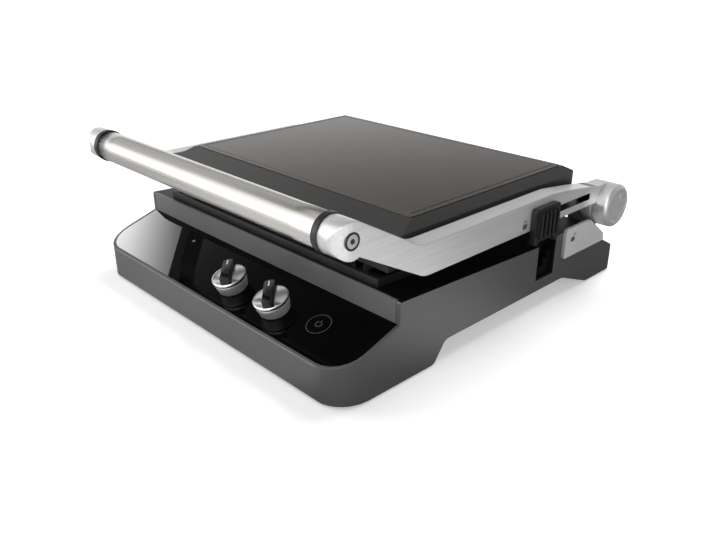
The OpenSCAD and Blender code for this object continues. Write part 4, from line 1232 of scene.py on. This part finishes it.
    def sky(self, scene, studio):
        """White where it is seen, soft light on matt skins, and a dark-ceilinged room in polish."""
        world = bpy.data.worlds.new("sky")
        scene.world = world
        world.use_nodes = True
        tree = world.node_tree
        back = tree.nodes["Background"]
        back.inputs["Color"].default_value = (1, 1, 1, 1)
        path = add(tree, "ShaderNodeLightPath").outputs
        seen = any_of(tree, path, "Is Camera Ray", "Is Transmission Ray")
        span = {"Value": seen, "To Min": studio.ambient, "To Max": 1.0}
        plain = add(tree, "ShaderNodeMapRange", span)
        way = add(tree, "ShaderNodeTexCoord").outputs["Generated"]
        height = add(tree, "ShaderNodeSeparateXYZ", {0: way}).outputs[2]
        turn = heading(tree, way)
        mirrored = 0.0
        wall = (WALL_BY_HEIGHT, WALL_BY_HEADING)
        card = (CARD_BY_HEIGHT, CARD_BY_HEADING)
        for by_height, by_heading in (wall, card):
            both = {0: levels(tree, height, by_height), 1: levels(tree, turn, by_heading)}
            tone = add(tree, "ShaderNodeMath", both, operation="MULTIPLY")
            brighter = {0: mirrored, 1: tone}
            mirrored = add(tree, "ShaderNodeMath", brighter, operation="MAXIMUM")
        either = {0: path["Is Glossy Ray"], NUMBER_A: plain, NUMBER_B: mirrored}
        join(tree, add(tree, "ShaderNodeMix", either), back.inputs["Strength"])


OPERATORS = (
    GRILL_OT_finishes,
    GRILL_OT_knobs,
    GRILL_OT_sleeve,
    GRILL_OT_marks,
    GRILL_OT_elbow_rings,
    GRILL_OT_recess,
    GRILL_OT_corner_sills,
    GRILL_OT_crosses,
    GRILL_OT_studio,
)


class GRILL_PT_panel(bpy.types.Panel):
    """Lists the steps that dress the grill"""

    bl_label = "Contact grill"
    bl_idname = "GRILL_PT_panel"
    bl_space_type = "VIEW_3D"
    bl_region_type = "UI"
    bl_category = "Grill"

    def draw(self, context):
        for step in OPERATORS:
            self.layout.operator(step.bl_idname)
        scene = context.scene
        for group in (scene.grill_sizes, scene.grill_colours, scene.grill_studio):
            box = self.layout.box()
            for name in group.__annotations__:
                box.prop(group, name)


CLASSES = (GrillSizes, GrillColours, StudioSettings, *OPERATORS, GRILL_PT_panel)


def register():
    for cls in CLASSES:
        bpy.utils.register_class(cls)
    bpy.types.Scene.grill_sizes = bpy.props.PointerProperty(type=GrillSizes)
    bpy.types.Scene.grill_colours = bpy.props.PointerProperty(type=GrillColours)
    bpy.types.Scene.grill_studio = bpy.props.PointerProperty(type=StudioSettings)


def unregister():
    del bpy.types.Scene.grill_sizes
    del bpy.types.Scene.grill_colours
    del bpy.types.Scene.grill_studio
    for cls in reversed(CLASSES):
        bpy.utils.unregister_class(cls)


def main():
    """Runs every step in order."""
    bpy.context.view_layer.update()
    register()
    for step in OPERATORS:
        area, name = step.bl_idname.split(".")
        getattr(getattr(bpy.ops, area), name)()


if __name__ == "__main__":
    main()
